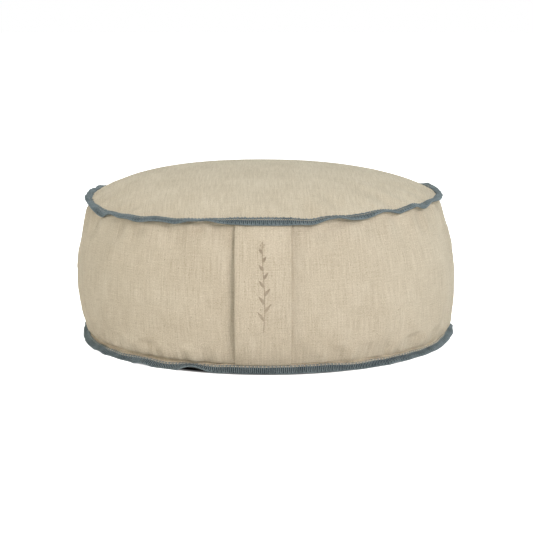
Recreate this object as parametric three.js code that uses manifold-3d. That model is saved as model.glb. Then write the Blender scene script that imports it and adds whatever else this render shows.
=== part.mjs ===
// Round floor cushion for sitting and meditation. A linen cover with exposed, overlocked edges,
// a carrying handle in front and a zip behind holds an inner bag filled with grain hulls.
// Millimetres, +Z up. The origin is the centre of the underside, and the handle faces -Y.

import * as THREE from "three";
import { mergeVertices } from "three/addons/utils/BufferGeometryUtils.js";
import Module from "manifold-3d";

const wasm = await Module();
wasm.setup();

// Overall shape of the filled cover
const CROWN_HEIGHT = 149;
const WAIST = { radius: 166.8, height: 50 };
const TOP_SEAM = { radius: 152, height: 123.7 };
const BOTTOM_SEAM = { radius: 156.4, height: 5 };
const FLAT_RADIUS = 150;
const DOME_POWER = 2.48;
const UPPER_SIDE_POWER = 1.8;
const LOWER_SIDE_POWER = 3.6;

// Cloth and clearances
const COVER_CLOTH = 1.2;
const LINER_CLOTH = 0.8;
const CLEARANCE = 0.3;
const SEAM_STEP = 2 * CLEARANCE;

// Overlocked edges: the seam allowances of two cloths, wrapped in thread
const OVERLOCK_WIDTH = 6;
const OVERLOCK_THICKNESS = 1.8;
const TOP_EDGE_DROOP = THREE.MathUtils.degToRad(32);
const TOP_EDGE_DROP = 1;
const BOTTOM_EDGE_DROOP = THREE.MathUtils.degToRad(54);

// Inner bag, set in from the cover to leave room for the zip
const LINER_SIDE_INSET = 4.9;
const LINER_TOP_INSET = 2.4;
const LINER_BOTTOM_INSET = 2;
const LINER_SEAM_RADIUS = 1.3;
const LINER_TOP_SEAM_INSET = 3.6;
const LINER_TOP_SEAM_DROP = 2.5;
const LINER_BOTTOM_SEAM_INSET = 5.2;
const LINER_TOP_SEAM = {
  radius: TOP_SEAM.radius - LINER_TOP_SEAM_INSET,
  height: TOP_SEAM.height - LINER_TOP_SEAM_DROP,
};
const SEAM_MARGIN = LINER_SEAM_RADIUS + CLEARANCE;
const LINER_BOTTOM_SEAM = {
  radius: BOTTOM_SEAM.radius - LINER_BOTTOM_SEAM_INSET,
  height: BOTTOM_SEAM.height,
};

// Carrying handle: a doubled strap that bows clear of the side so that fingers fit behind it
const HANDLE = { width: 44, thickness: 1.8, centre: -2.7, low: 9.5, high: 117.5 };
const HANDLE_END_GAP = 0.9;
const HANDLE_BOW = 5.6;

// Zip round the back. Angles are counted from +Y towards -X, in degrees.
const ZIP_HEIGHT = 56;
const BAND_END_ANGLE = 78;
const STOP_ANGLE = 75.5;
const SLIDER_ANGLE = 73.2;
const LABEL_ANGLE = -40;
const PLACKET_HALF_WIDTH = 5;
const TAPE = { inset: 2.1, thickness: 0.6, width: 15, endAngle: 77.6 };
const COIL = { inner: 164.9, outer: 166.9, near: 0.75, far: 3.1, endAngle: 74.95 };
const STOP_LENGTH = 2.4;
const SLIDER = { front: 5, rear: -5.5, halfWidth: 4.5, rearHalfWidth: 4.2, plate: 1 };
const SLIDER_LOWER_PLATE = 162.2;
const SLIDER_UPPER_PLATE = 167.3;
const SLIDER_WING = { low: 165, inner: 3.45, length: 8 };
const SLIDER_POST = { length: 2.5, thickness: 0.8 };
const BRIDGE = { length: 5.8, width: 2, height: 2, bar: 0.8 };
const SLIDER_REAR_CORNER = 1;
const SLIDER_FRONT_CORNER = 2;
const PULL = { length: 22, width: 6.5, thickness: 1.2, shoulder: 4, armWidth: 1.2, armInner: 1.4 };
const PULL_NECK = 3;
const PULL_ARM_OVERLAP = 1;
const PULL_HOLE_RADIUS = 1.5;
const LABEL = { width: 20, height: 19, thickness: 0.4, radius: 162.6, low: 27 };

// Facets round a full turn
const BODY_FACETS = 48;
const ZIP_FACETS = 96;
const ROUND_FACETS = 12;

const linen = () => new THREE.MeshStandardMaterial({ color: 0xc7bda6, roughness: 0.95 });
const overlockThread = () => new THREE.MeshStandardMaterial({ color: 0x68777b, roughness: 0.8 });
const zipCloth = () => new THREE.MeshStandardMaterial({ color: 0xb9ad94, roughness: 0.9 });
const nylon = () => new THREE.MeshStandardMaterial({ color: 0xbdb29b, roughness: 0.45 });
const steel = () => new THREE.MeshStandardMaterial({ color: 0x8d8c88, roughness: 0.35, metalness: 1 });
const calico = () => new THREE.MeshStandardMaterial({ color: 0xe4dcc8, roughness: 0.95 });
const satin = () => new THREE.MeshStandardMaterial({ color: 0xf0eee8, roughness: 0.6 });
const hulls = () => new THREE.MeshStandardMaterial({ color: 0x6b4a2f, roughness: 0.9 });

// Radius of the cover's side at a height
function sideRadius(height) {
  const above = height > WAIST.height;
  const seam = above ? TOP_SEAM : BOTTOM_SEAM;
  const power = above ? UPPER_SIDE_POWER : LOWER_SIDE_POWER;
  const share = (height - WAIST.height) / (seam.height - WAIST.height);
  return WAIST.radius - (WAIST.radius - seam.radius) * share ** power;
}

// Height of the cover's domed top at a radius
function domeHeight(radius) {
  return CROWN_HEIGHT - (CROWN_HEIGHT - TOP_SEAM.height) * (radius / TOP_SEAM.radius) ** DOME_POWER;
}

// Evenly spaced numbers, both ends included
function steps(from, to, count) {
  return Array.from({ length: count + 1 }, (_, i) => from + ((to - from) * i) / count);
}

// Points [radius, height] up the side, set in by a distance
function sidePoints(low, high, inset, count) {
  return steps(low, high, count).map((height) => [sideRadius(height) - inset, height]);
}

// Points [radius, height] over the dome from the axis out to an edge, lowered by a distance
function domePoints(edge, inset, count) {
  return steps(0, edge, count).map((radius) => [radius, domeHeight(radius) - inset]);
}

// A body turned about Z from an anticlockwise profile of [radius, height] points
function turned(profile, facets = BODY_FACETS) {
  const points = profile.map(([radius, height]) => new THREE.Vector2(radius, height));
  const geometry = new THREE.LatheGeometry(points, facets);
  geometry.rotateX(Math.PI / 2);
  return geometry;
}

// A ring turned from a profile that closes on itself
function ring(profile, facets = BODY_FACETS) {
  return turned([...profile, profile[0]], facets);
}

function toSolid(geometry) {
  const bare = geometry.clone();
  bare.deleteAttribute("normal");
  bare.deleteAttribute("uv");
  const merged = mergeVertices(bare, 1e-4);
  const vertProperties = new Float32Array(merged.attributes.position.array);
  const triVerts = new Uint32Array(merged.index.array);
  return new wasm.Manifold(new wasm.Mesh({ numProp: 3, vertProperties, triVerts }));
}

function toGeometry(solid) {
  const mesh = solid.getMesh();
  const geometry = new THREE.BufferGeometry();
  geometry.setAttribute("position", new THREE.BufferAttribute(mesh.vertProperties, 3));
  geometry.setIndex(new THREE.BufferAttribute(mesh.triVerts, 1));
  geometry.computeVertexNormals();
  return geometry;
}

function joined(geometries) {
  const [first, ...others] = geometries.map(toSolid);
  return toGeometry(others.reduce((sum, solid) => sum.add(solid), first));
}

// The stretch of a ring between two angles counted from the back
function slice(geometry, from, to) {
  const reach = WAIST.radius * 1.5;
  const start = THREE.MathUtils.degToRad(90 + from);
  const end = THREE.MathUtils.degToRad(90 + to);
  const sector = new THREE.Shape();
  sector.absarc(0, 0, reach, start, end, false);
  sector.lineTo(0, 0);
  const wedge = new THREE.ExtrudeGeometry(sector, { depth: 2 * CROWN_HEIGHT, bevelEnabled: false });
  wedge.translate(0, 0, -CROWN_HEIGHT);
  return toGeometry(toSolid(geometry).intersect(toSolid(wedge)));
}

function piece(name, geometry, material) {
  const mesh = new THREE.Mesh(geometry, material);
  mesh.name = name;
  return mesh;
}

// Places a geometry whose x runs along the zip, y up and z out from the cushion's axis
function atZip(name, geometry, angle, material) {
  geometry.rotateX(Math.PI / 2);
  const mesh = piece(name, geometry, material);
  mesh.rotation.z = THREE.MathUtils.degToRad(angle + 180);
  mesh.position.z = ZIP_HEIGHT;
  return mesh;
}

// A box given by its lowest and highest corners
function block(low, high) {
  const size = high.map((value, i) => value - low[i]);
  const box = new THREE.BoxGeometry(...size);
  box.translate(...low.map((value, i) => value + size[i] / 2));
  return box;
}

// An outline in x and y, thickened from one z to another
function slab(outline, low, high) {
  const shape = new THREE.Shape(outline.map(([x, y]) => new THREE.Vector2(x, y)));
  const geometry = new THREE.ExtrudeGeometry(shape, { depth: high - low, bevelEnabled: false });
  geometry.translate(0, 0, low);
  return geometry;
}

function makeTopPanel() {
  const inner = domePoints(TOP_SEAM.radius, COVER_CLOTH, 5);
  const outer = domePoints(TOP_SEAM.radius, 0, 5).reverse();
  return piece("top_panel", turned([...inner, ...outer]), linen());
}

function makeBottomPanel() {
  const rim = new THREE.QuadraticBezierCurve(
    new THREE.Vector2(FLAT_RADIUS, 0),
    new THREE.Vector2(BOTTOM_SEAM.radius - CLEARANCE, 0),
    new THREE.Vector2(BOTTOM_SEAM.radius, BOTTOM_SEAM.height),
  );
  const outer = rim.getPoints(3).map((point) => [point.x, point.y]);
  const inner = [
    [BOTTOM_SEAM.radius - COVER_CLOTH, BOTTOM_SEAM.height],
    [BOTTOM_SEAM.radius - 2 * COVER_CLOTH, 2 * COVER_CLOTH],
    [FLAT_RADIUS, COVER_CLOTH],
    [0, COVER_CLOTH],
  ];
  return piece("bottom_panel", turned([[0, 0], ...outer, ...inner]), linen());
}

// Profile of a strip of cloth up the side, set in by a distance
function stripProfile(low, high, inset, thickness, count) {
  const outer = sidePoints(low, high, inset, count);
  const inner = sidePoints(low, high, inset + thickness, count).reverse();
  return [...outer, ...inner];
}

function makeSideBands() {
  const low = BOTTOM_SEAM.height + SEAM_STEP;
  const high = TOP_SEAM.height - COVER_CLOTH - 3 * CLEARANCE;
  const seam = THREE.MathUtils.radToDeg(CLEARANCE / WAIST.radius);
  const strip = (from, to, count) => ring(stripProfile(from, to, 0, COVER_CLOTH, count));
  const front = slice(strip(low, high, 7), BAND_END_ANGLE + seam, 360 - BAND_END_ANGLE - seam);
  const upper = slice(strip(ZIP_HEIGHT + PLACKET_HALF_WIDTH, high, 4), -BAND_END_ANGLE, BAND_END_ANGLE);
  const lower = slice(strip(low, ZIP_HEIGHT - PLACKET_HALF_WIDTH, 5), -BAND_END_ANGLE, BAND_END_ANGLE);
  return [
    piece("side_band", front, linen()),
    piece("zip_band_upper", upper, linen()),
    piece("zip_band_lower", lower, linen()),
  ];
}

// Profile of an overlocked edge that leaves its root and droops
function edgeProfile(root, droop) {
  const along = [Math.cos(droop) * OVERLOCK_WIDTH, -Math.sin(droop) * OVERLOCK_WIDTH];
  const across = [Math.sin(droop) * OVERLOCK_THICKNESS, Math.cos(droop) * OVERLOCK_THICKNESS];
  const tip = [root[0] + along[0], root[1] + along[1]];
  return [
    root,
    tip,
    [tip[0] + across[0], tip[1] + across[1]],
    [root[0] + across[0], root[1] + across[1]],
  ];
}

function makeOverlockedEdges() {
  const topRoot = [TOP_SEAM.radius + 2 * CLEARANCE, TOP_SEAM.height - TOP_EDGE_DROP];
  const lift = Math.sin(BOTTOM_EDGE_DROOP) * OVERLOCK_WIDTH;
  const bottomRoot = [BOTTOM_SEAM.radius + 2 * CLEARANCE, lift];
  return [
    piece("top_edge_overlock", ring(edgeProfile(topRoot, TOP_EDGE_DROOP)), overlockThread()),
    piece("bottom_edge_overlock", ring(edgeProfile(bottomRoot, BOTTOM_EDGE_DROOP)), overlockThread()),
  ];
}

// Distance from the side to the back of the handle: flat-topped, and small where it is sewn in
function handleGap(height) {
  const share = (height - HANDLE.low) / (HANDLE.high - HANDLE.low);
  return HANDLE_END_GAP + HANDLE_BOW * (1 - (2 * share - 1) ** 4);
}

function makeHandle() {
  const heights = steps(HANDLE.low, HANDLE.high, 14);
  const back = heights.map((height) => [sideRadius(height) + handleGap(height), height]);
  const face = back.map(([radius, height]) => [radius + HANDLE.thickness, height]);
  const strap = slab([...face, ...back.reverse()], -HANDLE.width / 2, HANDLE.width / 2);
  // x goes to -Y, y goes up and the strap's width lies along X
  strap.rotateX(Math.PI / 2);
  strap.rotateZ(-Math.PI / 2);
  const mesh = piece("carry_handle", strap, linen());
  mesh.position.x = HANDLE.centre;
  return mesh;
}

// One half of the zip: side is 1 above the middle and -1 below it
function makeZipHalf(side, place) {
  const [tapeLow, tapeHigh] = side > 0 ? [COIL.near, TAPE.width] : [-TAPE.width, -COIL.near];
  const [coilLow, coilHigh] = side > 0 ? [COIL.near, COIL.far] : [-COIL.far, -COIL.near];
  const [from, to] = [ZIP_HEIGHT + tapeLow, ZIP_HEIGHT + tapeHigh];
  const tapeProfile = stripProfile(from, to, TAPE.inset, TAPE.thickness, 2);
  const coilProfile = [
    [COIL.inner, ZIP_HEIGHT + coilLow],
    [COIL.outer, ZIP_HEIGHT + coilLow],
    [COIL.outer, ZIP_HEIGHT + coilHigh],
    [COIL.inner, ZIP_HEIGHT + coilHigh],
  ];
  const tape = slice(ring(tapeProfile, ZIP_FACETS), -TAPE.endAngle, TAPE.endAngle);
  const coil = slice(ring(coilProfile, ZIP_FACETS), -COIL.endAngle, COIL.endAngle);
  const stop = block(
    [-STOP_LENGTH / 2, coilLow, COIL.inner],
    [STOP_LENGTH / 2, coilHigh, COIL.outer],
  );
  return [
    piece(`zip_tape_${place}`, tape, zipCloth()),
    piece(`zip_coil_${place}`, coil, nylon()),
    atZip(`zip_top_stop_${place}`, stop, STOP_ANGLE, steel()),
  ];
}

function makeBottomStop() {
  const stop = block([-STOP_LENGTH / 2, -COIL.far, COIL.inner], [STOP_LENGTH / 2, COIL.far, COIL.outer]);
  return atZip("zip_bottom_stop", stop, -STOP_ANGLE, steel());
}

// The slider's plates are widest at the end that parts the coils
function sliderPlate(low) {
  const outline = [
    [SLIDER.rear, -SLIDER.rearHalfWidth + SLIDER_REAR_CORNER],
    [SLIDER.rear + SLIDER_REAR_CORNER, -SLIDER.rearHalfWidth],
    [SLIDER.front - SLIDER_FRONT_CORNER, -SLIDER.halfWidth],
    [SLIDER.front, -SLIDER.halfWidth + SLIDER_FRONT_CORNER],
    [SLIDER.front, SLIDER.halfWidth - SLIDER_FRONT_CORNER],
    [SLIDER.front - SLIDER_FRONT_CORNER, SLIDER.halfWidth],
    [SLIDER.rear + SLIDER_REAR_CORNER, SLIDER.rearHalfWidth],
    [SLIDER.rear, SLIDER.rearHalfWidth - SLIDER_REAR_CORNER],
  ];
  return slab(outline, low, low + SLIDER.plate);
}

function makeSlider() {
  const overlap = 0.2;
  const post = block(
    [SLIDER.front - SLIDER_POST.length, -SLIDER_POST.thickness / 2, SLIDER_LOWER_PLATE + overlap],
    [SLIDER.front - overlap, SLIDER_POST.thickness / 2, SLIDER_UPPER_PLATE + overlap],
  );
  const wings = [-1, 1].map((side) => {
    const middle = (side * (SLIDER_WING.inner + SLIDER.rearHalfWidth)) / 2;
    const half = (SLIDER.rearHalfWidth - SLIDER_WING.inner) / 2;
    return block(
      [SLIDER.rear + 1, middle - half, SLIDER_WING.low],
      [SLIDER.rear + 1 + SLIDER_WING.length, middle + half, SLIDER_UPPER_PLATE + overlap],
    );
  });
  const deck = SLIDER_UPPER_PLATE + SLIDER.plate;
  const roof = deck + BRIDGE.height;
  const legs = [-1, 1].map((side) => {
    const outer = (side * BRIDGE.length) / 2;
    const inner = outer - side * BRIDGE.bar;
    return block(
      [Math.min(outer, inner), -BRIDGE.width / 2, deck - overlap],
      [Math.max(outer, inner), BRIDGE.width / 2, roof + overlap],
    );
  });
  const bar = block(
    [-BRIDGE.length / 2, -BRIDGE.width / 2, roof],
    [BRIDGE.length / 2, BRIDGE.width / 2, roof + BRIDGE.bar],
  );
  const plates = [SLIDER_LOWER_PLATE, SLIDER_UPPER_PLATE].map(sliderPlate);
  const body = joined([...plates, post, ...wings, ...legs, bar]);
  return atZip("zip_slider", body, SLIDER_ANGLE, steel());
}

// The pull hinges on a pin that passes under the bridge, and lies back over the closed coils
function makePull() {
  const axis = SLIDER_UPPER_PLATE + SLIDER.plate + BRIDGE.height / 2;
  const half = PULL.thickness / 2;
  const reach = PULL.armInner + PULL.armWidth;
  const pin = new THREE.CylinderGeometry(half, half, 2 * reach, ROUND_FACETS);
  pin.translate(0, 0, axis);
  const arms = [-1, 1].map((side) => {
    const inner = side * PULL.armInner;
    const outer = side * reach;
    return block(
      [-PULL.shoulder - PULL_ARM_OVERLAP, Math.min(inner, outer), axis - half],
      [0, Math.max(inner, outer), axis + half],
    );
  });
  const tab = new THREE.Shape();
  tab.moveTo(-PULL.shoulder, -reach);
  tab.lineTo(-PULL.shoulder, reach);
  tab.lineTo(-PULL.shoulder - PULL_NECK, PULL.width / 2);
  tab.absarc(-PULL.length + PULL.width / 2, 0, PULL.width / 2, Math.PI / 2, 1.5 * Math.PI, false);
  tab.lineTo(-PULL.shoulder - PULL_NECK, -PULL.width / 2);
  const hole = new THREE.Path();
  hole.absarc(-PULL.length + PULL.width / 2, 0, PULL_HOLE_RADIUS, 0, 2 * Math.PI, true);
  tab.holes.push(hole);
  const plate = new THREE.ExtrudeGeometry(tab, {
    depth: PULL.thickness,
    bevelEnabled: false,
    curveSegments: ROUND_FACETS / 2,
  });
  plate.translate(0, 0, axis - half);
  return atZip("zip_pull", joined([plate, pin, ...arms]), SLIDER_ANGLE, steel());
}

// Blank label sewn into the zip's lower seam, inside the cover
function makeCareLabel() {
  const low = LABEL.low - ZIP_HEIGHT;
  const label = block(
    [-LABEL.width / 2, low, LABEL.radius],
    [LABEL.width / 2, low + LABEL.height, LABEL.radius + LABEL.thickness],
  );
  return atZip("care_label", label, LABEL_ANGLE, satin());
}

// A small round bead of sewn seam allowances
function seamBead(seam) {
  const sides = 6;
  const angles = steps(0, 2 * Math.PI, sides).slice(0, sides);
  const profile = angles.map((angle) => [
    seam.radius + LINER_SEAM_RADIUS * Math.cos(angle),
    seam.height + LINER_SEAM_RADIUS * Math.sin(angle),
  ]);
  return ring(profile);
}

// Profile up the side of the inner bag, between its two seams
function bagSide(inset) {
  return sidePoints(LINER_BOTTOM_SEAM.height + SEAM_MARGIN, LINER_TOP_SEAM.height - SEAM_MARGIN, inset, 5);
}

// Profile over the top of the inner bag, from the axis out to its seam
function bagTop(inset) {
  return domePoints(LINER_TOP_SEAM.radius - SEAM_MARGIN, inset, 4);
}

function makeLiner() {
  const top = [
    ...bagTop(LINER_TOP_INSET + LINER_CLOTH),
    ...bagTop(LINER_TOP_INSET).reverse(),
  ];
  const side = [
    ...bagSide(LINER_SIDE_INSET),
    ...bagSide(LINER_SIDE_INSET + LINER_CLOTH).reverse(),
  ];
  const bottomEdge = LINER_BOTTOM_SEAM.radius - SEAM_MARGIN;
  const bottom = [
    [0, LINER_BOTTOM_INSET],
    [bottomEdge, LINER_BOTTOM_INSET],
    [bottomEdge, LINER_BOTTOM_INSET + LINER_CLOTH],
    [0, LINER_BOTTOM_INSET + LINER_CLOTH],
  ];
  return [
    piece("liner_top_panel", turned(top), calico()),
    piece("liner_side_band", ring(side), calico()),
    piece("liner_bottom_panel", turned(bottom), calico()),
    piece("liner_top_seam", seamBead(LINER_TOP_SEAM), calico()),
    piece("liner_bottom_seam", seamBead(LINER_BOTTOM_SEAM), calico()),
  ];
}

// The loose hulls, as the one soft body that they settle into, stepped in round the bag's seams
function makeFilling() {
  const around = LINER_CLOTH + CLEARANCE;
  const floor = LINER_BOTTOM_INSET + around;
  const bottomEdge = LINER_BOTTOM_SEAM.radius - SEAM_MARGIN;
  const topEdge = LINER_TOP_SEAM.radius - SEAM_MARGIN;
  const profile = [
    [0, floor],
    [bottomEdge, floor],
    [bottomEdge, LINER_BOTTOM_SEAM.height + SEAM_MARGIN],
    ...bagSide(LINER_SIDE_INSET + around),
    [topEdge, LINER_TOP_SEAM.height - SEAM_MARGIN],
    ...bagTop(LINER_TOP_INSET + around).reverse(),
  ];
  return piece("filling", turned(profile), hulls());
}

const cushion = new THREE.Group();
cushion.add(
  makeTopPanel(),
  makeBottomPanel(),
  ...makeSideBands(),
  ...makeOverlockedEdges(),
  makeHandle(),
  ...makeZipHalf(1, "upper"),
  ...makeZipHalf(-1, "lower"),
  makeBottomStop(),
  makeSlider(),
  makePull(),
  makeCareLabel(),
  ...makeLiner(),
  makeFilling(),
);

export default cushion;
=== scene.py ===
"""Round floor cushion: a linen cover with waving overlocked edges, a strap in front and a zip behind.
Metres, in the frame's own axes. Angles run from the front (-Y) towards +X."""

import math

import bmesh
import bpy
import numpy as np
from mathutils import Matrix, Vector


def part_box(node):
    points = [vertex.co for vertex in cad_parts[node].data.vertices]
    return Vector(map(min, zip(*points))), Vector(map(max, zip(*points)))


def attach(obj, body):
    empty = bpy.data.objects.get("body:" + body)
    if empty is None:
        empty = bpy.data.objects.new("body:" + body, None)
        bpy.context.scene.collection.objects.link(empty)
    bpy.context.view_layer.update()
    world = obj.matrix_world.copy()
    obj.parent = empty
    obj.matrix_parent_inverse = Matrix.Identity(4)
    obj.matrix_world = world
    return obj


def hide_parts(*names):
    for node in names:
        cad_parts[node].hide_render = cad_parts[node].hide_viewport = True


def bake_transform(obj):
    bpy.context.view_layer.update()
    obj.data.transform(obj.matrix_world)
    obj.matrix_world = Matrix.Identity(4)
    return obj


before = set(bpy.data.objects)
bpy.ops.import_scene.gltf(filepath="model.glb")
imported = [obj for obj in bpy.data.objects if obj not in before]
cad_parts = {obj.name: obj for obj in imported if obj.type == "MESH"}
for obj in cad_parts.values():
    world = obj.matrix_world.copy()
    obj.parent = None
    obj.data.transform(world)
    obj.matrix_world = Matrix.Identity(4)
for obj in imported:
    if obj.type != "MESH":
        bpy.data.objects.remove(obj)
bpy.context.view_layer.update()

MM = 0.001
TURN = 2 * math.pi

# Camera, at the height and distance from which the cushion is seen
FOCAL_LENGTH = 97.15
SENSOR_WIDTH = 36
CAMERA_AT = 0, -1.2605, 0.2862
CAMERA_DOWN = 10.313
camera_data = bpy.data.cameras.new("camera")
camera_data.lens = FOCAL_LENGTH
camera_data.sensor_width = SENSOR_WIDTH
camera = bpy.data.objects.new("camera", camera_data)
camera.location = CAMERA_AT
camera.rotation_euler = (math.radians(90 - CAMERA_DOWN), 0, 0)
bpy.context.scene.collection.objects.link(camera)
bpy.context.scene.camera = camera

# Measures, taken from the frame where it has them
CLOTH = 1.2 * MM
LINER_CLOTH = 0.8 * MM
top_low, top_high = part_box("top_panel")
bottom_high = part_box("bottom_panel")[1]
strap_low, strap_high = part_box("carry_handle")
slider_low, slider_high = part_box("zip_slider")
CROWN = top_high.z
TOP_RADIUS = top_high.x
TOP_HEIGHT = top_low.z + CLOTH
BOTTOM_RADIUS = bottom_high.x
BOTTOM_HEIGHT = bottom_high.z
WAIST_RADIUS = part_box("side_band")[1].x
WAIST_HEIGHT = 50 * MM
FLAT_RADIUS = 150 * MM
DOME_POWER = 2.48
UPPER_SIDE_POWER = 1.8
LOWER_SIDE_POWER = 2.7
ZIP_HEIGHT = slider_low.z / 2 + slider_high.z / 2
PLACKET = 5 * MM
BAND_END = math.radians(78)
STRAP_MIDDLE = (strap_low.x + strap_high.x) / 2
STRAP_WIDTH = strap_high.x - strap_low.x

# The filled cover leans a little: its top sits to the left of its underside
LEAN = 1.75 * MM
LEAN_HEIGHT = 62 * MM
# The curve of the side runs on this far past its seams, as a share of its height
OVERRUN = 1.2


def side_radius(height):
    """Radius of the cover's side at a height."""
    above = height > WAIST_HEIGHT
    seam_radius = np.where(above, TOP_RADIUS, BOTTOM_RADIUS)
    seam_height = np.where(above, TOP_HEIGHT, BOTTOM_HEIGHT)
    power = np.where(above, UPPER_SIDE_POWER, LOWER_SIDE_POWER)
    share = np.clip((height - WAIST_HEIGHT) / (seam_height - WAIST_HEIGHT), 0, OVERRUN)
    return WAIST_RADIUS - (WAIST_RADIUS - seam_radius) * share**power


def side_slope(height):
    """How much the side's radius grows with its height."""
    return (side_radius(height + MM) - side_radius(height - MM)) / (2 * MM)


def dome_height(radius):
    """Height of the cover's domed top at a radius."""
    return CROWN - (CROWN - TOP_HEIGHT) * (radius / TOP_RADIUS) ** DOME_POWER


def turned(angle, radius, height):
    """Points from cylinder coordinates."""
    angle, radius, height = np.broadcast_arrays(angle, radius, height)
    return np.stack([radius * np.sin(angle), -radius * np.cos(angle), height], -1)


def place(angle, radius, height):
    """Points of the leaning cover, from cylinder coordinates."""
    points = turned(angle, radius, height)
    points[..., 0] -= LEAN * (points[..., 2] - LEAN_HEIGHT) / LEAN_HEIGHT
    return points


def hump(value, middle, spread):
    """1 where a value in metres is at the middle, falling off smoothly. middle and spread are in mm."""
    return np.exp(-(((value - middle * MM) / (spread * MM)) ** 2))


# Values that vary round the cushion are kept on one fine ring of angles
FINE_COUNT = 1440
FINE = np.arange(FINE_COUNT) / FINE_COUNT * TURN


def around(angle, ring):
    return np.interp(angle, FINE, ring, period=TURN)


def softened(ring, spread):
    """A ring of values blurred over an angle in degrees."""
    order = np.fft.rfftfreq(FINE_COUNT, 1 / FINE_COUNT)
    return np.fft.irfft(np.fft.rfft(ring) * np.exp(-((order * math.radians(spread)) ** 2) / 2), FINE_COUNT)


def ripple(seed, low, high):
    """Seeded waves round the ring with a spread of 1, from low to high counts a turn."""
    random = np.random.default_rng(seed)
    order = np.arange(low, high + 1)
    phase = random.uniform(0, TURN, len(order))
    size = random.normal(0, 1, len(order))
    waves = (size[:, None] * np.cos(order[:, None] * FINE + phase[:, None])).sum(0)
    return waves / waves.std()


def knots(pairs, spread):
    """A ring through (degrees, value) pairs, slightly softened."""
    angles, values = np.array(sorted(pairs), float).T
    return softened(np.interp(FINE, np.radians(angles), values, period=TURN), spread)


def facing(low, high, soft):
    """A ring that is 1 between two angles in degrees and 0 elsewhere, with soft ends."""
    middle, half = (low + high) / 2, (high - low) / 2
    away = np.abs((np.degrees(FINE) - middle + 180) % 360 - 180)
    return np.clip((half + soft / 2 - away) / soft, 0, 1)


# How far the seams stray from true circles, as (degrees, mm) pairs
TOP_SHIFT_OUT = MM * knots([
    (-180, -1.2), (-120, -1.2), (-90, -1.0), (-60, -0.8), (-30, -0.6), (0, -0.4), (30, -0.8), (60, -1.6),
    (90, -1.8), (120, -1.6), (180, -1.2),
], 6)
TOP_SHIFT_UP = MM * knots([
    (-180, 0), (-130, 0), (-100, -0.8), (-90, -1.6), (-80, -3), (-70, -4.2), (-60, -5.4), (-53, -5.8),
    (-46, -5.2), (-40, -4.5), (-30, -3.8), (-21, -3.6), (-14, -2.0), (-8, -1.0), (0, -0.9), (7, -1.0),
    (10, -2.0), (14, -2.6), (18, -1.0), (22, -0.8), (26, -1.6), (31, -0.4), (35, 0.9), (39, 0.6),
    (44, -0.9), (49, 1.2), (53, 1.6), (57, -0.6), (62, 1.2), (67, 0.6), (72, 1.0), (80, 0.2), (88, 0.2),
    (96, 0.5), (106, 0.6), (120, 0), (180, 0),
], 1.2)
BOTTOM_SHIFT_OUT = MM * knots([
    (-180, 0), (-100, 0), (-88, 0.4), (-75, 2.4), (-60, 4.0), (-45, 4.2), (-30, 3.2), (-15, 1.4),
    (0, 0.6), (20, 0.2), (180, 0),
], 4)
BOTTOM_SHIFT_UP = MM * knots([
    (-180, 0), (-90, 0), (-60, -0.7), (-30, -0.4), (-18, 0.4), (-12, 1.4), (0, 1.6), (14, 1.5), (20, 0.9),
    (30, 0.2), (180, 0),
], 3)
# How much fuller the domed top is half way out
SHOULDER = MM * knots([
    (-180, 0), (-130, 1.2), (-90, 2.6), (-50, 1.2), (0, -0.4), (50, 0.8), (90, 1.6), (130, 0.8), (180, 0),
], 8)
# How far behind the bottom seam the side's cloth tucks in
VALLEY = -MM * knots([
    (-180, 0.5), (-90, 1.6), (-70, 4.8), (-45, 6.4), (-18, 5.0), (-9, 1.6), (8, 0.8), (25, 2.0),
    (60, 2.2), (90, 0.8), (180, 0.5),
], 4)
# How far the side swells out just above that tuck
SWELL = MM * knots([
    (-180, 0), (-95, 0), (-78, 1.2), (-62, 3.6), (-45, 4.4), (-30, 4.0), (-17, 2.6), (-9, 0.3), (8, 0),
    (24, 0.8), (40, 0.6), (58, 0.8), (75, 0.2), (180, 0),
], 4)
# How far the side's raw edge lies above the edge's middle: where it is high it shows beside the thread
LIP = MM * knots([(-180, 0.45), (-95, 0.2), (-8, 0.2), (8, 0.4), (22, 0.6), (100, 0.6), (180, 0.45)], 4)


# ---------------------------------------------------------------- mesh making


def grid_quads(rows, columns, closed=False, looped=False):
    """Quads between points numbered row by row.
    closed joins the last column to the first, and looped does the same for the rows."""
    i = np.arange(rows if looped else rows - 1)[:, None]
    j = np.arange(columns if closed else columns - 1)[None, :]
    k = (j + 1) % columns
    n = (i + 1) % rows
    return np.stack([i * columns + j, i * columns + k, n * columns + k, n * columns + j], -1).reshape(-1, 4)


def build(name, points, faces, cloth=None, tidy=True):
    """A mesh object from points and arrays of faces.
    cloth is each point's place on the flat cloth, in metres. tidy makes all the faces look outward."""
    points = np.ascontiguousarray(points, np.float32).reshape(-1, 3)
    corners = np.concatenate([f.reshape(-1) for f in faces]).astype(np.int32)
    sizes = np.concatenate([np.full(len(f), f.shape[1]) for f in faces])
    mesh = bpy.data.meshes.new(name)
    mesh.vertices.add(len(points))
    mesh.vertices.foreach_set("co", points.ravel())
    mesh.loops.add(len(corners))
    mesh.loops.foreach_set("vertex_index", corners)
    mesh.polygons.add(len(sizes))
    mesh.polygons.foreach_set("loop_start", np.concatenate([[0], np.cumsum(sizes)[:-1]]).astype(np.int32))
    mesh.update(calc_edges=True)
    if cloth is not None:
        layer = mesh.uv_layers.new(name="cloth")
        layer.data.foreach_set("uv", np.asarray(cloth, np.float32).reshape(-1, 2)[corners].ravel())
    if tidy:
        work = bmesh.new()
        work.from_mesh(mesh)
        bmesh.ops.recalc_face_normals(work, faces=work.faces)
        work.to_mesh(mesh)
        work.free()
    mesh.polygons.foreach_set("use_smooth", np.full(len(mesh.polygons), True))
    piece = bpy.data.objects.new(name, mesh)
    bpy.context.scene.collection.objects.link(piece)
    return piece


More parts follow.
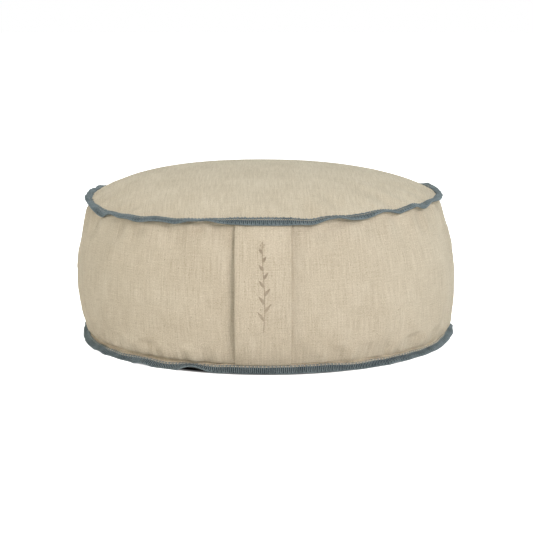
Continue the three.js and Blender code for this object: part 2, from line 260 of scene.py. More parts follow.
def finish_piece(piece, material, body="cushion", stands_for=()):
    """Gives a piece its material, the body it rides on and the CAD nodes it replaces."""
    piece.data.materials.append(material)
    if body:
        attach(piece, body)
    if stands_for:
        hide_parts(*stands_for)
    return piece


def unit(vectors):
    return vectors / np.maximum(np.linalg.norm(vectors, axis=-1, keepdims=True), 1e-12)


def run_length(points):
    """The distance run along a line of points, from 0 at the first."""
    return np.concatenate([[0], np.cumsum(np.linalg.norm(np.diff(points, axis=0), axis=-1))])


def on_cloth(across, along):
    """Places on the flat cloth for a grid of points."""
    return np.stack(np.broadcast_arrays(across, along), -1)


def outward_normals(grid):
    """Unit normals of a grid of points, away from the middle of the cushion."""
    normal = unit(np.cross(np.gradient(grid, axis=1), np.gradient(grid, axis=0)))
    return -normal if (normal * grid * [1, 1, 0]).sum(-1).mean() < 0 else normal


def shell(outer, inner):
    """A closed skin between two grids of points, as points and faces."""
    rows, columns = outer.shape[:2]
    count = rows * columns
    index = np.arange(count).reshape(rows, columns)
    quads = grid_quads(rows, columns)
    faces = [quads, quads[:, ::-1] + count]
    for line in index[0], index[-1], index[:, 0], index[:, -1]:
        faces.append(np.stack([line[:-1], line[1:], line[1:] + count, line[:-1] + count], -1))
    return np.concatenate([outer.reshape(-1, 3), inner.reshape(-1, 3)]), faces


def tube(path, across, radius, sides=5, closed=False):
    """A tube along a path. across holds directions that point away from it, one for each point."""
    if closed:
        tangent = unit(np.roll(path, -1, 0) - np.roll(path, 1, 0))
    else:
        tangent = unit(np.gradient(path, axis=0))
    first = unit(across - (across * tangent).sum(-1, keepdims=True) * tangent)
    second = np.cross(tangent, first)
    turn = np.arange(sides) / sides * TURN
    ring = first[:, None] * np.cos(turn)[:, None] + second[:, None] * np.sin(turn)[:, None]
    points = path[:, None] + ring * np.broadcast_to(radius, len(path))[:, None, None]
    faces = [grid_quads(len(path), sides, True, closed)]
    if not closed:
        last = (len(path) - 1) * sides
        faces.append(np.stack([np.arange(sides)[::-1], last + np.arange(sides)]))
    return points.reshape(-1, 3), faces


def merged(parts):
    """Several (points, faces) joined into one."""
    points, faces, start = [], [], 0
    for some, their in parts:
        points.append(some)
        faces += [f + start for f in their]
        start += len(some)
    by_size = {}
    for f in faces:
        by_size.setdefault(f.shape[1], []).append(f)
    return np.concatenate(points), [np.concatenate(f) for f in by_size.values()]


# How far a stitch's middle rises and its ends sink, in thread radii, and how much thinner its ends are
STITCH_RISE = 1.55
STITCH_DIP = 1.2
STITCH_TAPER = 0.28


def stitches(path, out, length, gap, radius):
    """A row of sewn stitches along a path: each rises from the cloth, lies on it and dips back in."""
    distance = run_length(path)
    count = max(1, int(distance[-1] / (length + gap)))
    rings = np.linspace(0, 1, 7)
    arch = 1 - (2 * rings - 1) ** 4
    parts = []
    for i in range(count):
        at = (i + 0.5) * distance[-1] / count + (rings - 0.5) * length
        line = np.stack([np.interp(at, distance, path[:, a]) for a in range(3)], -1)
        away = unit(np.stack([np.interp(at, distance, out[:, a]) for a in range(3)], -1))
        line = line + away * (radius * (arch * STITCH_RISE - STITCH_DIP))[:, None]
        parts.append(tube(line, away, radius * (1 - STITCH_TAPER + STITCH_TAPER * arch), 6))
    return merged(parts)


def curve_between(start, middle, end, count):
    """Rows on the quadratic curves from one row of points to another, without the first."""
    share = np.linspace(0, 1, count + 1)[1:, None, None]
    return start * (1 - share) ** 2 + middle * 2 * share * (1 - share) + end * share**2


# ------------------------------------------------- the cover's cloth, simulated

SIM_COLUMNS = 180
SIM_ROWS = 26
SIM_SEED = 5
SIM_FRAMES = 18
SIM_INNER = 12 * MM
SIM_ANGLE = np.arange(SIM_COLUMNS) / SIM_COLUMNS * TURN
# The cloth starts with waves of this many mm, of 10 to 55 counts a turn
SIM_ROUGH = 0.3
# Spare cloth reaches this many mm from the top seam and from the bottom seam, and the dome has a share of it
SPARE_TOP = 30
SPARE_BOTTOM = 24
SPARE_DOME = 0.5
CLOTH_SETTINGS = {
    "quality": 7,
    "mass": 0.15,
    "tension_stiffness": 40,
    "compression_stiffness": 20,
    "shear_stiffness": 10,
    "bending_stiffness": 0.15,
    "tension_damping": 8,
    "compression_damping": 8,
    "shear_damping": 8,
    "bending_damping": 0.2,
    "air_damping": 2,
    "vertex_group_mass": "held",
    "vertex_group_shrink": "spread",
    "shrink_min": -0.07,
    "shrink_max": 0,
    "use_pressure": True,
    "uniform_pressure_force": 4,
}


def arc_length(a, b):
    return np.concatenate([[0], np.cumsum(np.hypot(np.diff(a), np.diff(b)))])


dome_rows = np.linspace(SIM_INNER, TOP_RADIUS, SIM_ROWS)
band_rows = np.linspace(TOP_HEIGHT, BOTTOM_HEIGHT, SIM_ROWS)
dome_arc = arc_length(dome_rows, dome_height(dome_rows))
band_arc = arc_length(side_radius(band_rows), band_rows)


def rough_rows(count, low, high):
    """Seeded waves on each row of the simulated cloth, four rows sharing a seed."""
    return np.stack([around(SIM_ANGLE, ripple(SIM_SEED + i // 4, low, high)) for i in range(count)])


def simulate():
    """Inflates the cover with its seams held and with a little too much cloth near them, as it is cut.
    Returns how far the dome and the band stray from round, as (outward, upward) for each row and column."""
    radius = np.concatenate([dome_rows, side_radius(band_rows)])[:, None]
    height = np.concatenate([dome_height(dome_rows), band_rows])[:, None]
    held = np.zeros((2 * SIM_ROWS, SIM_COLUMNS), bool)
    held[[0, SIM_ROWS - 1, SIM_ROWS, 2 * SIM_ROWS - 1]] = True
    rough = np.where(held, 0, rough_rows(2 * SIM_ROWS, 10, 55) * SIM_ROUGH * MM)
    start = turned(SIM_ANGLE, radius + rough, height)
    quads = grid_quads(SIM_ROWS, SIM_COLUMNS, True)[:, ::-1]
    rim = np.arange(SIM_COLUMNS)
    last = (2 * SIM_ROWS - 1) * SIM_COLUMNS
    faces = [quads, quads + SIM_ROWS * SIM_COLUMNS, rim[None], rim[None, ::-1] + last]
    model = build("settling", start, faces, tidy=False)
    model.vertex_groups.new(name="held").add(np.flatnonzero(held).tolist(), 1, "REPLACE")
    from_top = np.concatenate([dome_arc[-1] - dome_arc, band_arc])
    from_bottom = np.concatenate([np.full(SIM_ROWS, 1.0), band_arc[-1] - band_arc])
    spare = hump(from_top, 0, SPARE_TOP) + hump(from_bottom, 0, SPARE_BOTTOM)
    spare[:SIM_ROWS] *= SPARE_DOME
    spread = model.vertex_groups.new(name="spread")
    for row, weight in enumerate(np.clip(1 - spare, 0, 1)):
        spread.add((rim + row * SIM_COLUMNS).tolist(), float(weight), "REPLACE")
    cloth = model.modifiers.new("cloth", "CLOTH")
    for setting, value in CLOTH_SETTINGS.items():
        setattr(cloth.settings, setting, value)
    cloth.settings.effector_weights.gravity = 0
    cloth.point_cache.frame_end = SIM_FRAMES
    for step in range(1, SIM_FRAMES + 1):
        bpy.context.scene.frame_set(step)
    settled = model.evaluated_get(bpy.context.evaluated_depsgraph_get())
    points = np.zeros(start.size, np.float32)
    settled.data.vertices.foreach_get("co", points)
    points = points.reshape(start.shape).astype(float)
    bpy.data.objects.remove(model)
    bpy.context.scene.frame_set(1)
    outward = np.hypot(points[..., 0], points[..., 1]) - radius
    upward = points[..., 2] - height
    stray = np.stack([outward - outward.mean(1, keepdims=True), upward - upward.mean(1, keepdims=True)])
    return stray[:, :SIM_ROWS], stray[:, SIM_ROWS:]


# The cloth strays no further than this, and its waves fade out towards this many a turn
CAP = 2.2 * MM
WAVE_LIMIT = 52
MAP_ROWS = 160
ROW_BLUR = np.array([1, 2, 3, 2, 1]) / 9


def refined(stray):
    """A finer map of how the cloth strays, capped and without its coarse steps."""
    waves = np.fft.rfft(np.tanh(stray / CAP) * CAP, axis=-1)
    order = np.arange(waves.shape[-1])
    waves = waves * np.exp(-((order / WAVE_LIMIT) ** 4))
    more = FINE_COUNT // 2 + 1 - len(order)
    fine = np.fft.irfft(np.pad(waves, [(0, 0), (0, 0), (0, more)]), FINE_COUNT, axis=-1)
    fine = fine * (FINE_COUNT / SIM_COLUMNS)
    rows = np.linspace(0, SIM_ROWS - 1, MAP_ROWS)
    low = np.floor(rows).astype(int).clip(0, SIM_ROWS - 2)
    part = rows - low
    part = (part * part * (3 - 2 * part))[None, :, None]
    fine = fine[:, low] * (1 - part) + fine[:, low + 1] * part
    padded = np.pad(fine, [(0, 0), (2, 2), (0, 0)], "edge")
    return sum(k * padded[:, i : i + MAP_ROWS] for i, k in enumerate(ROW_BLUR))


dome_stray, band_stray = [refined(stray) for stray in (simulate())]


def sampled(stray, row_share, angle):
    """Values of a map at shares of its rows and at angles."""
    row_share, angle = np.broadcast_arrays(row_share, angle)
    row = np.clip(row_share, 0, 1) * (MAP_ROWS - 1)
    column = (angle % TURN) / TURN * FINE_COUNT
    i = np.floor(row).astype(int).clip(0, MAP_ROWS - 2)
    j = np.floor(column).astype(int) % FINE_COUNT
    a, b = row - i, column - np.floor(column)
    k = (j + 1) % FINE_COUNT
    upper = stray[:, i, j] * (1 - b) + stray[:, i, k] * b
    lower = stray[:, i + 1, j] * (1 - b) + stray[:, i + 1, k] * b
    return upper * (1 - a) + lower * a


# Under the strap the side stays smooth, and so does the stretch behind that holds the zip
STRAP_MASK = 1 - 0.85 * facing(-11.5, 9.5, 4)
BEHIND_MASK = 1 - facing(-120, 120, 8)
# How much calmer the cloth is at the bottom seam, and over how many mm above it and beside the zip
SEAM_CALM = 0.45
SEAM_CALM_SPREAD = 12
ZIP_CALM_SPREAD = 16
# The swell stands this high above the bottom seam and falls off over these distances below and above, in mm
SWELL_HEIGHT = 5
SWELL_BELOW = 3.2
SWELL_ABOVE = 11

# Soft dents in the band: degrees, degrees wide, height in mm, mm high and depth in mm
DENTS = [
    (-62, 3.5, 12, 7, 1.1), (-55, 2.2, 11, 6, 0.9), (-47, 4, 12, 6, 1.3), (-40, 2.6, 10, 5, 0.9),
    (-31, 3, 10, 5, 1.2), (-25, 3.2, 9.5, 5, 1.0), (-17, 4, 9.5, 5, 1.0), (13, 3.5, 10, 6, 0.9),
    (20, 3, 10, 6, 0.7), (29, 3.5, 11, 7, 1.2), (37, 4, 11, 7, 1.1), (46, 3.5, 11, 6, 0.8),
    (58, 4, 12, 7, 0.8), (-66, 3.5, 108, 10, 1.3), (-54, 5, 106, 12, 1.8), (-44, 3.5, 110, 9, 1.0),
    (-33, 4, 111, 8, 1.1), (-20, 4, 112, 8, 1.0), (18, 4, 112, 7, 0.7), (33, 4, 111, 8, 0.8),
    (47, 5, 110, 9, 0.9),
]

# Fine puckers beside the seams: their waves, and in mm how far in they stand, how wide and how high they are
BOTTOM_PUCKERS = ripple(21, 40, 95), 4, 5, 0.6
TOP_PUCKERS = ripple(22, 36, 80), 5, 6, 0.4
DOME_PUCKERS = ripple(23, 36, 90), 4, 5, 0.3


def puckered(puckers, angle, inside):
    """How far puckers lift the cloth, in mm, at a distance in from their seam."""
    ring, middle, spread, size = puckers
    return around(angle, ring) * hump(inside, middle, spread) * size


def band_point(angle, height):
    """The band's outer surface, with its settled cloth and the puckers at its seams."""
    angle, height = np.broadcast_arrays(angle, height)
    arc = np.interp(-height, -band_rows, band_arc)
    stray = sampled(band_stray, arc / band_arc[-1], angle)
    mask = around(angle, STRAP_MASK)
    below, above = height - BOTTOM_HEIGHT, TOP_HEIGHT - height
    fine = puckered(BOTTOM_PUCKERS, angle, below) + puckered(TOP_PUCKERS, angle, above)
    calm = 1 - SEAM_CALM * hump(below, 0, SEAM_CALM_SPREAD)
    calm = calm * (1 - around(angle, BEHIND_MASK) * hump(height - ZIP_HEIGHT, 0, ZIP_CALM_SPREAD))
    spread = np.where(below < SWELL_HEIGHT * MM, SWELL_BELOW, SWELL_ABOVE)
    swell = around(angle, SWELL) * hump(below, SWELL_HEIGHT, spread)
    radius = side_radius(height) + (stray[0] * calm + fine * MM + swell) * mask
    for at, wide, middle, tall, depth in DENTS:
        apart = (angle - math.radians(at) + math.pi) % TURN - math.pi
        dent = np.exp(-((apart / math.radians(wide)) ** 2) - ((height - middle * MM) / (tall * MM)) ** 2)
        radius = radius - depth * MM * dent
    ease = np.clip(np.minimum(below, above) / (12 * MM), 0, 1)
    rise = np.clip((height - WAIST_HEIGHT) / (TOP_HEIGHT - WAIST_HEIGHT), 0, 1)
    radius = radius + around(angle, TOP_SHIFT_OUT) * rise**2
    return radius, height + stray[1] * mask * ease + around(angle, TOP_SHIFT_UP) * rise**3


def dome_point(angle, radius):
    """The domed top's outer surface."""
    angle, radius = np.broadcast_arrays(angle, radius)
    arc = np.interp(radius, dome_rows, dome_arc)
    stray = sampled(dome_stray, arc / dome_arc[-1], angle)
    ease = np.clip((radius - 20 * MM) / (60 * MM), 0, 1)
    fine = puckered(DOME_PUCKERS, angle, TOP_RADIUS - radius) * MM
    share = radius / TOP_RADIUS
    height = dome_height(radius) + stray[1] * ease * 0.8 + fine + around(angle, TOP_SHIFT_UP) * share**4
    height = height + around(angle, SHOULDER) * 4 * share**2 * (1 - share**2)
    return radius + around(angle, TOP_SHIFT_OUT) * share**3, height


# ------------------------------------------------------- overlocked edges


class Edge:
    """An overlocked edge: two seam allowances that leave the seam together and wave as they go round.
    Its rings are the seam's radius and height, its width, its tilt from level and how far it curls."""

    thickness = 1.0 * MM
    floor_clearance = 0.35 * MM

    def __init__(self, radius, height, width, tilt, curl):
        self.radius, self.height, self.width = radius, height, width
        self.tilt, self.curl = np.radians(tilt), np.radians(curl)

    def at(self, angle, across, out):
        """Points at a distance across the edge from its seam and a distance out from its middle."""
        tilt, curl = around(angle, self.tilt), around(angle, self.curl)
        share = across / around(angle, self.width)
        chord, slant = tilt + curl * share / 2, tilt + curl * share
        radius = around(angle, self.radius) + across * np.cos(chord) - out * np.sin(slant)
        height = around(angle, self.height) + across * np.sin(chord) + out * np.cos(slant)
        return place(angle, radius, np.maximum(height, self.floor_clearance))


def blended(front, back):
    """A ring that follows one ring in front and another behind."""
    weight = facing(-104, 110, 8)
    return front * weight + back * (1 - weight)


top_tilt = blended(
    knots([
        (-180, -18), (-96, 8), (-90, -6), (-85, 12), (-80, -12), (-74, 2), (-69, -4), (-64, -14),
        (-61, -28), (-58, -12), (-54, 2), (-49, -12), (-45, -2), (-40, -14), (-35, -8), (-30, 0),
        (-26, -12), (-22, 4), (-19, 4), (-16.5, 2), (-13, -16), (-9, -30), (0, -33), (7, -34), (10, -24),
        (14, -22), (18, -10), (22, 0), (26, -16), (30, -22), (34, -6), (38, 6), (41, -4), (45, -24),
        (49, -2), (53, 8), (56, -16), (59, -20), (63, 8), (67, -4), (71, 12), (76, -4), (81, 4), (86, 12),
        (93, 24), (103, 24), (112, 16), (180, -18),
    ], 0.7),
    -18 + 14 * ripple(31, 9, 26) + 5 * ripple(32, 30, 60),
)
top_curl = blended(
    knots([
        (-180, 0), (-80, 10), (-70, -10), (-59, -50), (-54, 10), (-45, -25), (-30, -20), (-17, 10),
        (0, -8), (15, 5), (22, 12), (33, -20), (41, 15), (52, -25), (65, 15), (72, -15), (85, 25),
        (180, 0),
    ], 1.2),
    16 * ripple(33, 8, 24),
)
behind = 1 - facing(-14, 14, 8)
at_strap = facing(-10, 8, 3)
EDGE_WIDTH = 6.2 * MM
top_edge = Edge(
    TOP_RADIUS + 0.3 * MM + TOP_SHIFT_OUT + 0.25 * MM * ripple(34, 20, 60) + 0.5 * MM * at_strap,
    TOP_HEIGHT - 0.3 * MM + TOP_SHIFT_UP + 0.3 * MM * ripple(35, 12, 36) * behind,
    EDGE_WIDTH + 0.3 * MM * ripple(36, 6, 20) * behind
    - 1.2 * MM * facing(-112, -34, 9) - 1.4 * MM * facing(26, 118, 9) - 1.2 * MM * facing(80, 118, 6),
    top_tilt,
    top_curl,
)
bottom_tilt = blended(
    knots([
        (-180, -50), (-94, -8), (-86, -22), (-78, -40), (-70, -50), (-64, -46), (-60, -20), (-57, -18),
        (-54, -52), (-48, -58), (-43, -50), (-40, -24), (-37, -20), (-34, -46), (-30, -58), (-27, -50),
        (-24.5, -20), (-21.5, -6), (-19, -20), (-15, -62), (-10, -76), (0, -80), (8, -78), (14, -62),
        (18, -44), (22, -66), (30, -58), (36, -62), (40, -36), (44, -54), (55, -52), (65, -44), (76, -32),
        (84, -10), (92, -4), (180, -50),
    ], 0.8),
    -46 + 11 * ripple(41, 7, 22) + 4 * ripple(42, 26, 50),
)
bottom_edge = Edge(
    BOTTOM_RADIUS + 0.5 * MM + BOTTOM_SHIFT_OUT + 0.25 * MM * ripple(44, 20, 60) + 0.9 * MM * at_strap,
    BOTTOM_HEIGHT + 0.3 * MM + BOTTOM_SHIFT_UP + 0.25 * MM * ripple(45, 8, 30) * behind,
    EDGE_WIDTH + 0.25 * MM * ripple(46, 6, 20) * behind,
    bottom_tilt,
    10 * ripple(43, 8, 24),
)
# The core's section: shares of the edge's width, its upper (1) or lower (-1) face, and its rounded rim
CORE_SECTION = [
    (0, 1, 0), (0.3, 1, 0), (0.6, 1, 0), (0.86, 1, 0), (1, 1, -0.25), (1, 0.5, 0.05),
    (1, -0.5, 0.05), (1, -1, -0.25), (0.86, -1, 0), (0.6, -1, 0), (0.3, -1, 0), (0, -1, 0),
]
CORE_COLUMNS = 900


def edge_core(name, edge, start):
    """The two layers of cloth inside the thread, as one rounded ribbon that begins a ring's distance out."""
    angle = np.arange(CORE_COLUMNS) / CORE_COLUMNS * TURN
    start = around(angle, start)
    half = edge.thickness / 2
    width = around(angle, edge.width)
    rows = [edge.at(angle, start + (width - start) * share + half * extra, side * half)
            for share, side, extra in CORE_SECTION]
    return build(name, np.stack(rows), [grid_quads(len(rows), CORE_COLUMNS, True, True)])


def rounded(values, power):
    return np.sign(values) * np.abs(values) ** power


THREAD_PITCH = 1.5 * MM
# Each wrap of thread: lift off the cloth, thread radius and points a turn
FIRST_WRAP = 0.16 * MM, 0.32 * MM, 12
SECOND_WRAP = 0.36 * MM, 0.28 * MM, 14
# The braid along the tip: points a turn, how far out it runs, how far it weaves across and up, and its radius
BRAID_STEPS = 6
BRAID_OUT = 0.55 * MM
BRAID_ACROSS = 0.12 * MM
BRAID_UP = 0.42 * MM
BRAID_RADIUS = 0.42 * MM


def wrapping(edge, turns, hand, phase, reach, lift, radius, steps):
    """Thread wound round the edge. reach gives how far in from the seam each turn goes over the cloth."""
    turn = np.arange(turns * steps) / steps
    angle = turn / turns * TURN + phase
    swing = hand * TURN * turn
    width = around(angle, edge.width) + lift
    inner = reach(np.floor(turn).astype(int), angle, np.sin(swing) > 0)
    across = width - (width - inner) * (1 - rounded(np.cos(swing), 0.6)) / 2
    out = (edge.thickness / 2 + lift) * rounded(np.sin(swing), 0.45)
    path = edge.at(angle, across, out)
    middle = edge.at(angle, (width + inner) / 2, 0)
    return tube(path, path - middle, radius, closed=True)


def edge_threads(name, edge, reach):
    """Two wraps of thread and the braid that joins them along the edge's tip."""
    ring_radius = edge.radius.mean()
    turns = 2 * int(TURN * ring_radius / THREAD_PITCH / 2)
    parts = [
        wrapping(edge, turns, 1, 0, reach, *FIRST_WRAP),
        wrapping(edge, turns // 2, -1, 0.7 * THREAD_PITCH / ring_radius, reach, *SECOND_WRAP),
    ]
    steps = np.arange(turns * BRAID_STEPS)
    angle = steps / len(steps) * TURN
    weave = steps / BRAID_STEPS * TURN
    tip = around(angle, edge.width) + BRAID_OUT + BRAID_ACROSS * np.cos(2 * weave)
    path = edge.at(angle, tip, BRAID_UP * np.sin(weave))
    parts.append(tube(path, unit(path - edge.at(angle, tip - MM, 0)), BRAID_RADIUS, closed=True))
    return build(name, *merged(parts), tidy=False)


# How far in from the seam the thread reaches, in mm: on the under side, and round the bottom's upper side
UNDER_REACH_TOP = 0.4
UNDER_REACH_BOTTOM = 0.3
BOTTOM_LINE = knots([
    (-180, 0.3), (-60, -0.3), (-15, -0.1), (10, 0.1), (22, 0.5), (60, 0.7), (100, 0.5), (180, 0.3),
], 3)


def top_reach(turn, angle, upper):
    """Every other turn reaches over the seam onto the dome, which makes the toothed line there."""
    front = around(angle, facing(-25, 25, 20))
    tooth = np.where(turn % 2 == 0, -1.2 - 0.8 * front, -0.6 * front)
    return np.where(upper, tooth, UNDER_REACH_TOP) * MM


def bottom_reach(turn, angle, upper):
    """A line of the cloth's own edge shows above the thread."""
    line = around(angle, BOTTOM_LINE) + np.where(turn % 2 == 0, 0, 0.3)
    return np.where(upper, line, UNDER_REACH_BOTTOM) * MM


# ------------------------------------------------------------- materials


class Nodes:
    """Short ways to wire up a material's nodes."""

    def __init__(self, name):
        self.material = bpy.data.materials.new(name)
        self.material.use_nodes = True
        self.tree = self.material.node_tree
        self.shader = self.tree.nodes["Principled BSDF"]

    def add(self, kind, values=None, out=0, **settings):
        node = self.tree.nodes.new(kind)
        for key, value in settings.items():
            setattr(node, key, value)
        for key, value in (values or {}).items():
            self.put(node.inputs[key], value)
        return node.outputs[out]

    def put(self, socket, value):
        if isinstance(value, bpy.types.NodeSocket):
            self.tree.links.new(value, socket)
        else:
            socket.default_value = value

    def math(self, operation, a, b=0.0, c=0.0):
        return self.add("ShaderNodeMath", {0: a, 1: b, 2: c}, operation=operation)

    def noise(self, place, size, detail=2.0, seed=0.0, rough=0.5):
        """Noise whose grains are size = (x, y, z) metres across."""
        grains = tuple(1 / s for s in size)
        scaled = self.add("ShaderNodeVectorMath", {0: place, 1: grains}, operation="MULTIPLY")
        moved = self.add("ShaderNodeVectorMath", {0: scaled, 1: (seed, -seed, seed * 2)}, operation="ADD")
        settings = {"Vector": moved, "Scale": 1.0, "Detail": detail, "Roughness": rough}
        return self.add("ShaderNodeTexNoise", settings)

    def weighted(self, *parts):
        """The sum of (value, weight) pairs."""
        total = self.math("MULTIPLY", *parts[0])
        for value, weight in parts[1:]:
            total = self.math("MULTIPLY_ADD", value, weight, total)
        return total

    def ramp(self, factor, stops):
        node = self.tree.nodes.new("ShaderNodeValToRGB")
        self.put(node.inputs[0], factor)
        elements = node.color_ramp.elements
        while len(elements) < len(stops):
            elements.new(0.5)
        for element, (at, color) in zip(elements, stops):
            element.position = at
            element.color = (*color, 1)
        return node.outputs[0]

    def mix(self, factor, a, b, blend="MIX"):
        return self.add("ShaderNodeMix", {0: factor, 6: a, 7: b}, out=2, data_type="RGBA", blend_type=blend)

    def bump(self, height, distance, strength=1.0):
        return self.add("ShaderNodeBump", {"Height": height, "Distance": distance, "Strength": strength})

    def done(self, color, roughness, normal=None, **sockets):
        self.put(self.shader.inputs["Base Color"], color)
        self.put(self.shader.inputs["Roughness"], roughness)
        if normal is not None:
            self.put(self.shader.inputs["Normal"], normal)
        for key, value in sockets.items():
            self.put(self.shader.inputs[key.replace("_", " ")], value)
        return self.material


def split(nodes, place):
    parts = nodes.tree.nodes.new("ShaderNodeSeparateXYZ")
    nodes.put(parts.inputs[0], place)
    return parts.outputs


def woven(name, dark, middle, light, pitch, fleck=0.0, depth=0.22 * MM):
    """Plain-woven slubby cloth, laid out on the map named cloth."""
    n = Nodes(name)
    place = n.add("ShaderNodeUVMap", uv_map="cloth")
    warp = n.noise(place, (1.1 * MM, 24 * MM, 1), 3, 3)
    weft = n.noise(place, (17 * MM, 1.0 * MM, 1), 3, 11)
    fibre = n.noise(place, (0.8 * MM, 1.0 * MM, 1), 2, 5)
    blotch = n.noise(place, (26 * MM, 34 * MM, 1), 3, 7)
    slub = n.noise(place, (2.0 * MM, 9 * MM, 1), 2, 17)
    weights = 0.15, 0.27, 0.48, 0.16, 0.12
    tone = n.weighted(*zip((weft, warp, fibre, blotch, slub), weights))
    even = 0.5 * sum(weights)
    color = n.ramp(tone, [(even - 0.17, dark), (even, middle), (even + 0.16, light)])
    if fleck:
        flecks = []
        for size, seed, low, high, strength in (((1.5 * MM, 2.4 * MM, 1), 29, 0.72, 0.78, fleck),
                                                ((0.9 * MM, 1.1 * MM, 1), 37, 0.70, 0.76, fleck * 0.6)):
            grain = n.noise(place, size, 1, seed)
            flecks.append(n.add("ShaderNodeMapRange", {0: grain, 1: low, 2: high, 3: 0.0, 4: strength}))
        color = n.mix(n.math("MAXIMUM", *flecks), color, (0.20, 0.145, 0.09, 1))
    wobble = n.math("MULTIPLY", n.noise(place, (5 * MM, 5 * MM, 1), 2, 41), 0.9)
    u, v, _ = split(n, place)
    over, under = [n.math("ABSOLUTE", n.math("SINE", n.math("MULTIPLY_ADD", way, math.pi / pitch, wobble)))
                   for way in (u, v)]
    height = n.weighted((over, under), (warp, 1.9), (weft, 0.9), (fibre, 1.5))
    rough = n.add("ShaderNodeMapRange", {0: fibre, 1: 0.3, 2: 0.7, 3: 0.84, 4: 0.97})
    return n.done(color, rough, n.bump(height, depth, 0.75), Sheen_Weight=0.06, Sheen_Roughness=0.5,
                  Specular_IOR_Level=0.25)


def thread(name, dark, light, size=0.35 * MM):
    """Spun thread: small fibres and slow changes of shade."""
    n = Nodes(name)
    place = n.add("ShaderNodeTexCoord", out=3)
    fibre = n.noise(place, (size, size, size), 3, 3)
    slow = n.noise(place, (9 * MM, 9 * MM, 6 * MM), 2, 9)
    color = n.ramp(n.weighted((slow, 0.35), (fibre, 0.65)), [(0.33, dark), (0.66, light)])
    return n.done(color, 0.78, n.bump(fibre, 0.12 * MM, 0.6), Sheen_Weight=0.12, Sheen_Roughness=0.4,
                  Specular_IOR_Level=0.35)


def taped(name, color_dark, color_light):
    """Zip tape: fine herringbone, laid out on the map named cloth."""
    n = Nodes(name)
    place = n.add("ShaderNodeUVMap", uv_map="cloth")
    u, v, _ = split(n, place)
    wave = n.math("PINGPONG", v, 1.6 * MM)
    slant = n.math("ADD", u, wave)
    rib = n.math("ABSOLUTE", n.math("SINE", n.math("MULTIPLY", slant, math.pi / (0.7 * MM))))
    grain = n.noise(place, (0.4 * MM, 0.9 * MM, 1), 2, 3)
    tone = n.weighted((grain, 0.5), (rib, 0.5))
    color = n.ramp(tone, [(0.2, color_dark), (0.7, color_light)])
    return n.done(color, 0.85, n.bump(tone, 0.2 * MM, 0.7), Specular_IOR_Level=0.3)


def moulded(name, dark, light, roughness, metallic=0.0, grain=0.25 * MM, depth=0.01 * MM):
    """Metal or nylon with faint wear in its finish."""
    n = Nodes(name)
    place = n.add("ShaderNodeTexCoord", out=3)
    fine = n.noise(place, (grain, grain, grain), 3, 3)
    worn = n.noise(place, (4 * MM, 4 * MM, 4 * MM), 3, 7)
    color = n.ramp(n.weighted((worn, 0.6), (fine, 0.4)), [(0.35, dark), (0.65, light)])
    rough = n.add("ShaderNodeMapRange", {0: worn, 1: 0.3, 2: 0.7, 3: roughness - 0.07, 4: roughness + 0.08})
    return n.done(color, rough, n.bump(fine, depth, 0.5), Metallic=metallic)


def husks(name):
    """Grain hulls lying against each other."""
    n = Nodes(name)
    place = n.add("ShaderNodeTexCoord", out=3)
    cells = n.tree.nodes.new("ShaderNodeTexVoronoi")
    n.put(cells.inputs["Vector"], place)
    cells.inputs["Scale"].default_value = 1 / (4.5 * MM)
    shade = n.noise(place, (2 * MM, 2 * MM, 2 * MM), 3, 5)
    # Darker towards each cell's edge, where the bump sinks: painted shade in the gaps between the hulls, over
    # their random tone
    tone = n.math("MULTIPLY_ADD", cells.outputs["Distance"], -0.6, n.math("MULTIPLY_ADD", shade, 0.7, 0.45))
    color = n.ramp(tone, [(0.2, (0.04, 0.022, 0.012)), (0.55, (0.14, 0.075, 0.035)),
                          (0.85, (0.3, 0.19, 0.1))])
    return n.done(color, 0.7, n.bump(tone, 1.2 * MM, 0.9))


LINEN = woven("linen_canvas", (0.42, 0.345, 0.245), (0.575, 0.495, 0.372), (0.70, 0.625, 0.50), 0.85 * MM,
              fleck=0.55)
SLATE = thread("slate_thread", (0.085, 0.115, 0.126), (0.250, 0.300, 0.315))
# The cloth inside the overlocked edges is coloured near black: painted shade in the gaps between the thread's
# wraps
CORE_PAINTED_SHADE = thread("core_painted_shade", (0.022, 0.034, 0.040), (0.060, 0.080, 0.088))
SEWING = thread("sewing_thread", (0.44, 0.37, 0.27), (0.66, 0.58, 0.45))
TAUPE = thread("taupe_thread", (0.33, 0.262, 0.188), (0.50, 0.415, 0.312))
CALICO = woven("calico", (0.62, 0.55, 0.44), (0.74, 0.69, 0.58), (0.82, 0.78, 0.69), 0.6 * MM,
               fleck=0.25, depth=0.1 * MM)
SATIN = woven("satin_ribbon", (0.78, 0.77, 0.73), (0.84, 0.83, 0.80), (0.88, 0.87, 0.84), 0.35 * MM,
              depth=0.04 * MM)
TAPE = taped("tape_herringbone", (0.32, 0.27, 0.19), (0.52, 0.45, 0.34))
NYLON = moulded("coil_nylon", (0.42, 0.36, 0.26), (0.56, 0.49, 0.38), 0.4)
METAL = moulded("satin_nickel", (0.42, 0.41, 0.39), (0.58, 0.57, 0.55), 0.33, 1.0)
HUSKS = husks("grain_husks")

# ------------------------------------------------------------ top and bottom

# Rings of quads in a round panel, and the step between a lip's rows on the flat cloth
PANEL_RINGS = 72
LIP_STEP = 0.9 * MM


def disc_grid(count):
    """Evenly spread quads over a disc of radius 1: radii, angles, quads and the rim in order of angle."""
    step = np.arange(-count, count + 1)
    a, b = np.meshgrid(step, step, indexing="ij")
    ring = np.maximum(np.abs(a), np.abs(b))
    radius = np.maximum(ring, 1)
    right_or_left = np.where(a > 0, b / radius, 4 - b / radius)
    up_or_down = np.where(b > 0, 2 - a / radius, 6 + a / radius)
    angle = np.where(np.abs(a) >= np.abs(b), right_or_left, up_or_down) * (math.pi / 4)
    angle = np.where(ring == 0, 0, angle).ravel() % TURN
    rim = np.flatnonzero(ring.ravel() == count)
    rim = rim[np.argsort(angle[rim])]
    return ring.ravel() / count, angle, grid_quads(2 * count + 1, 2 * count + 1), rim


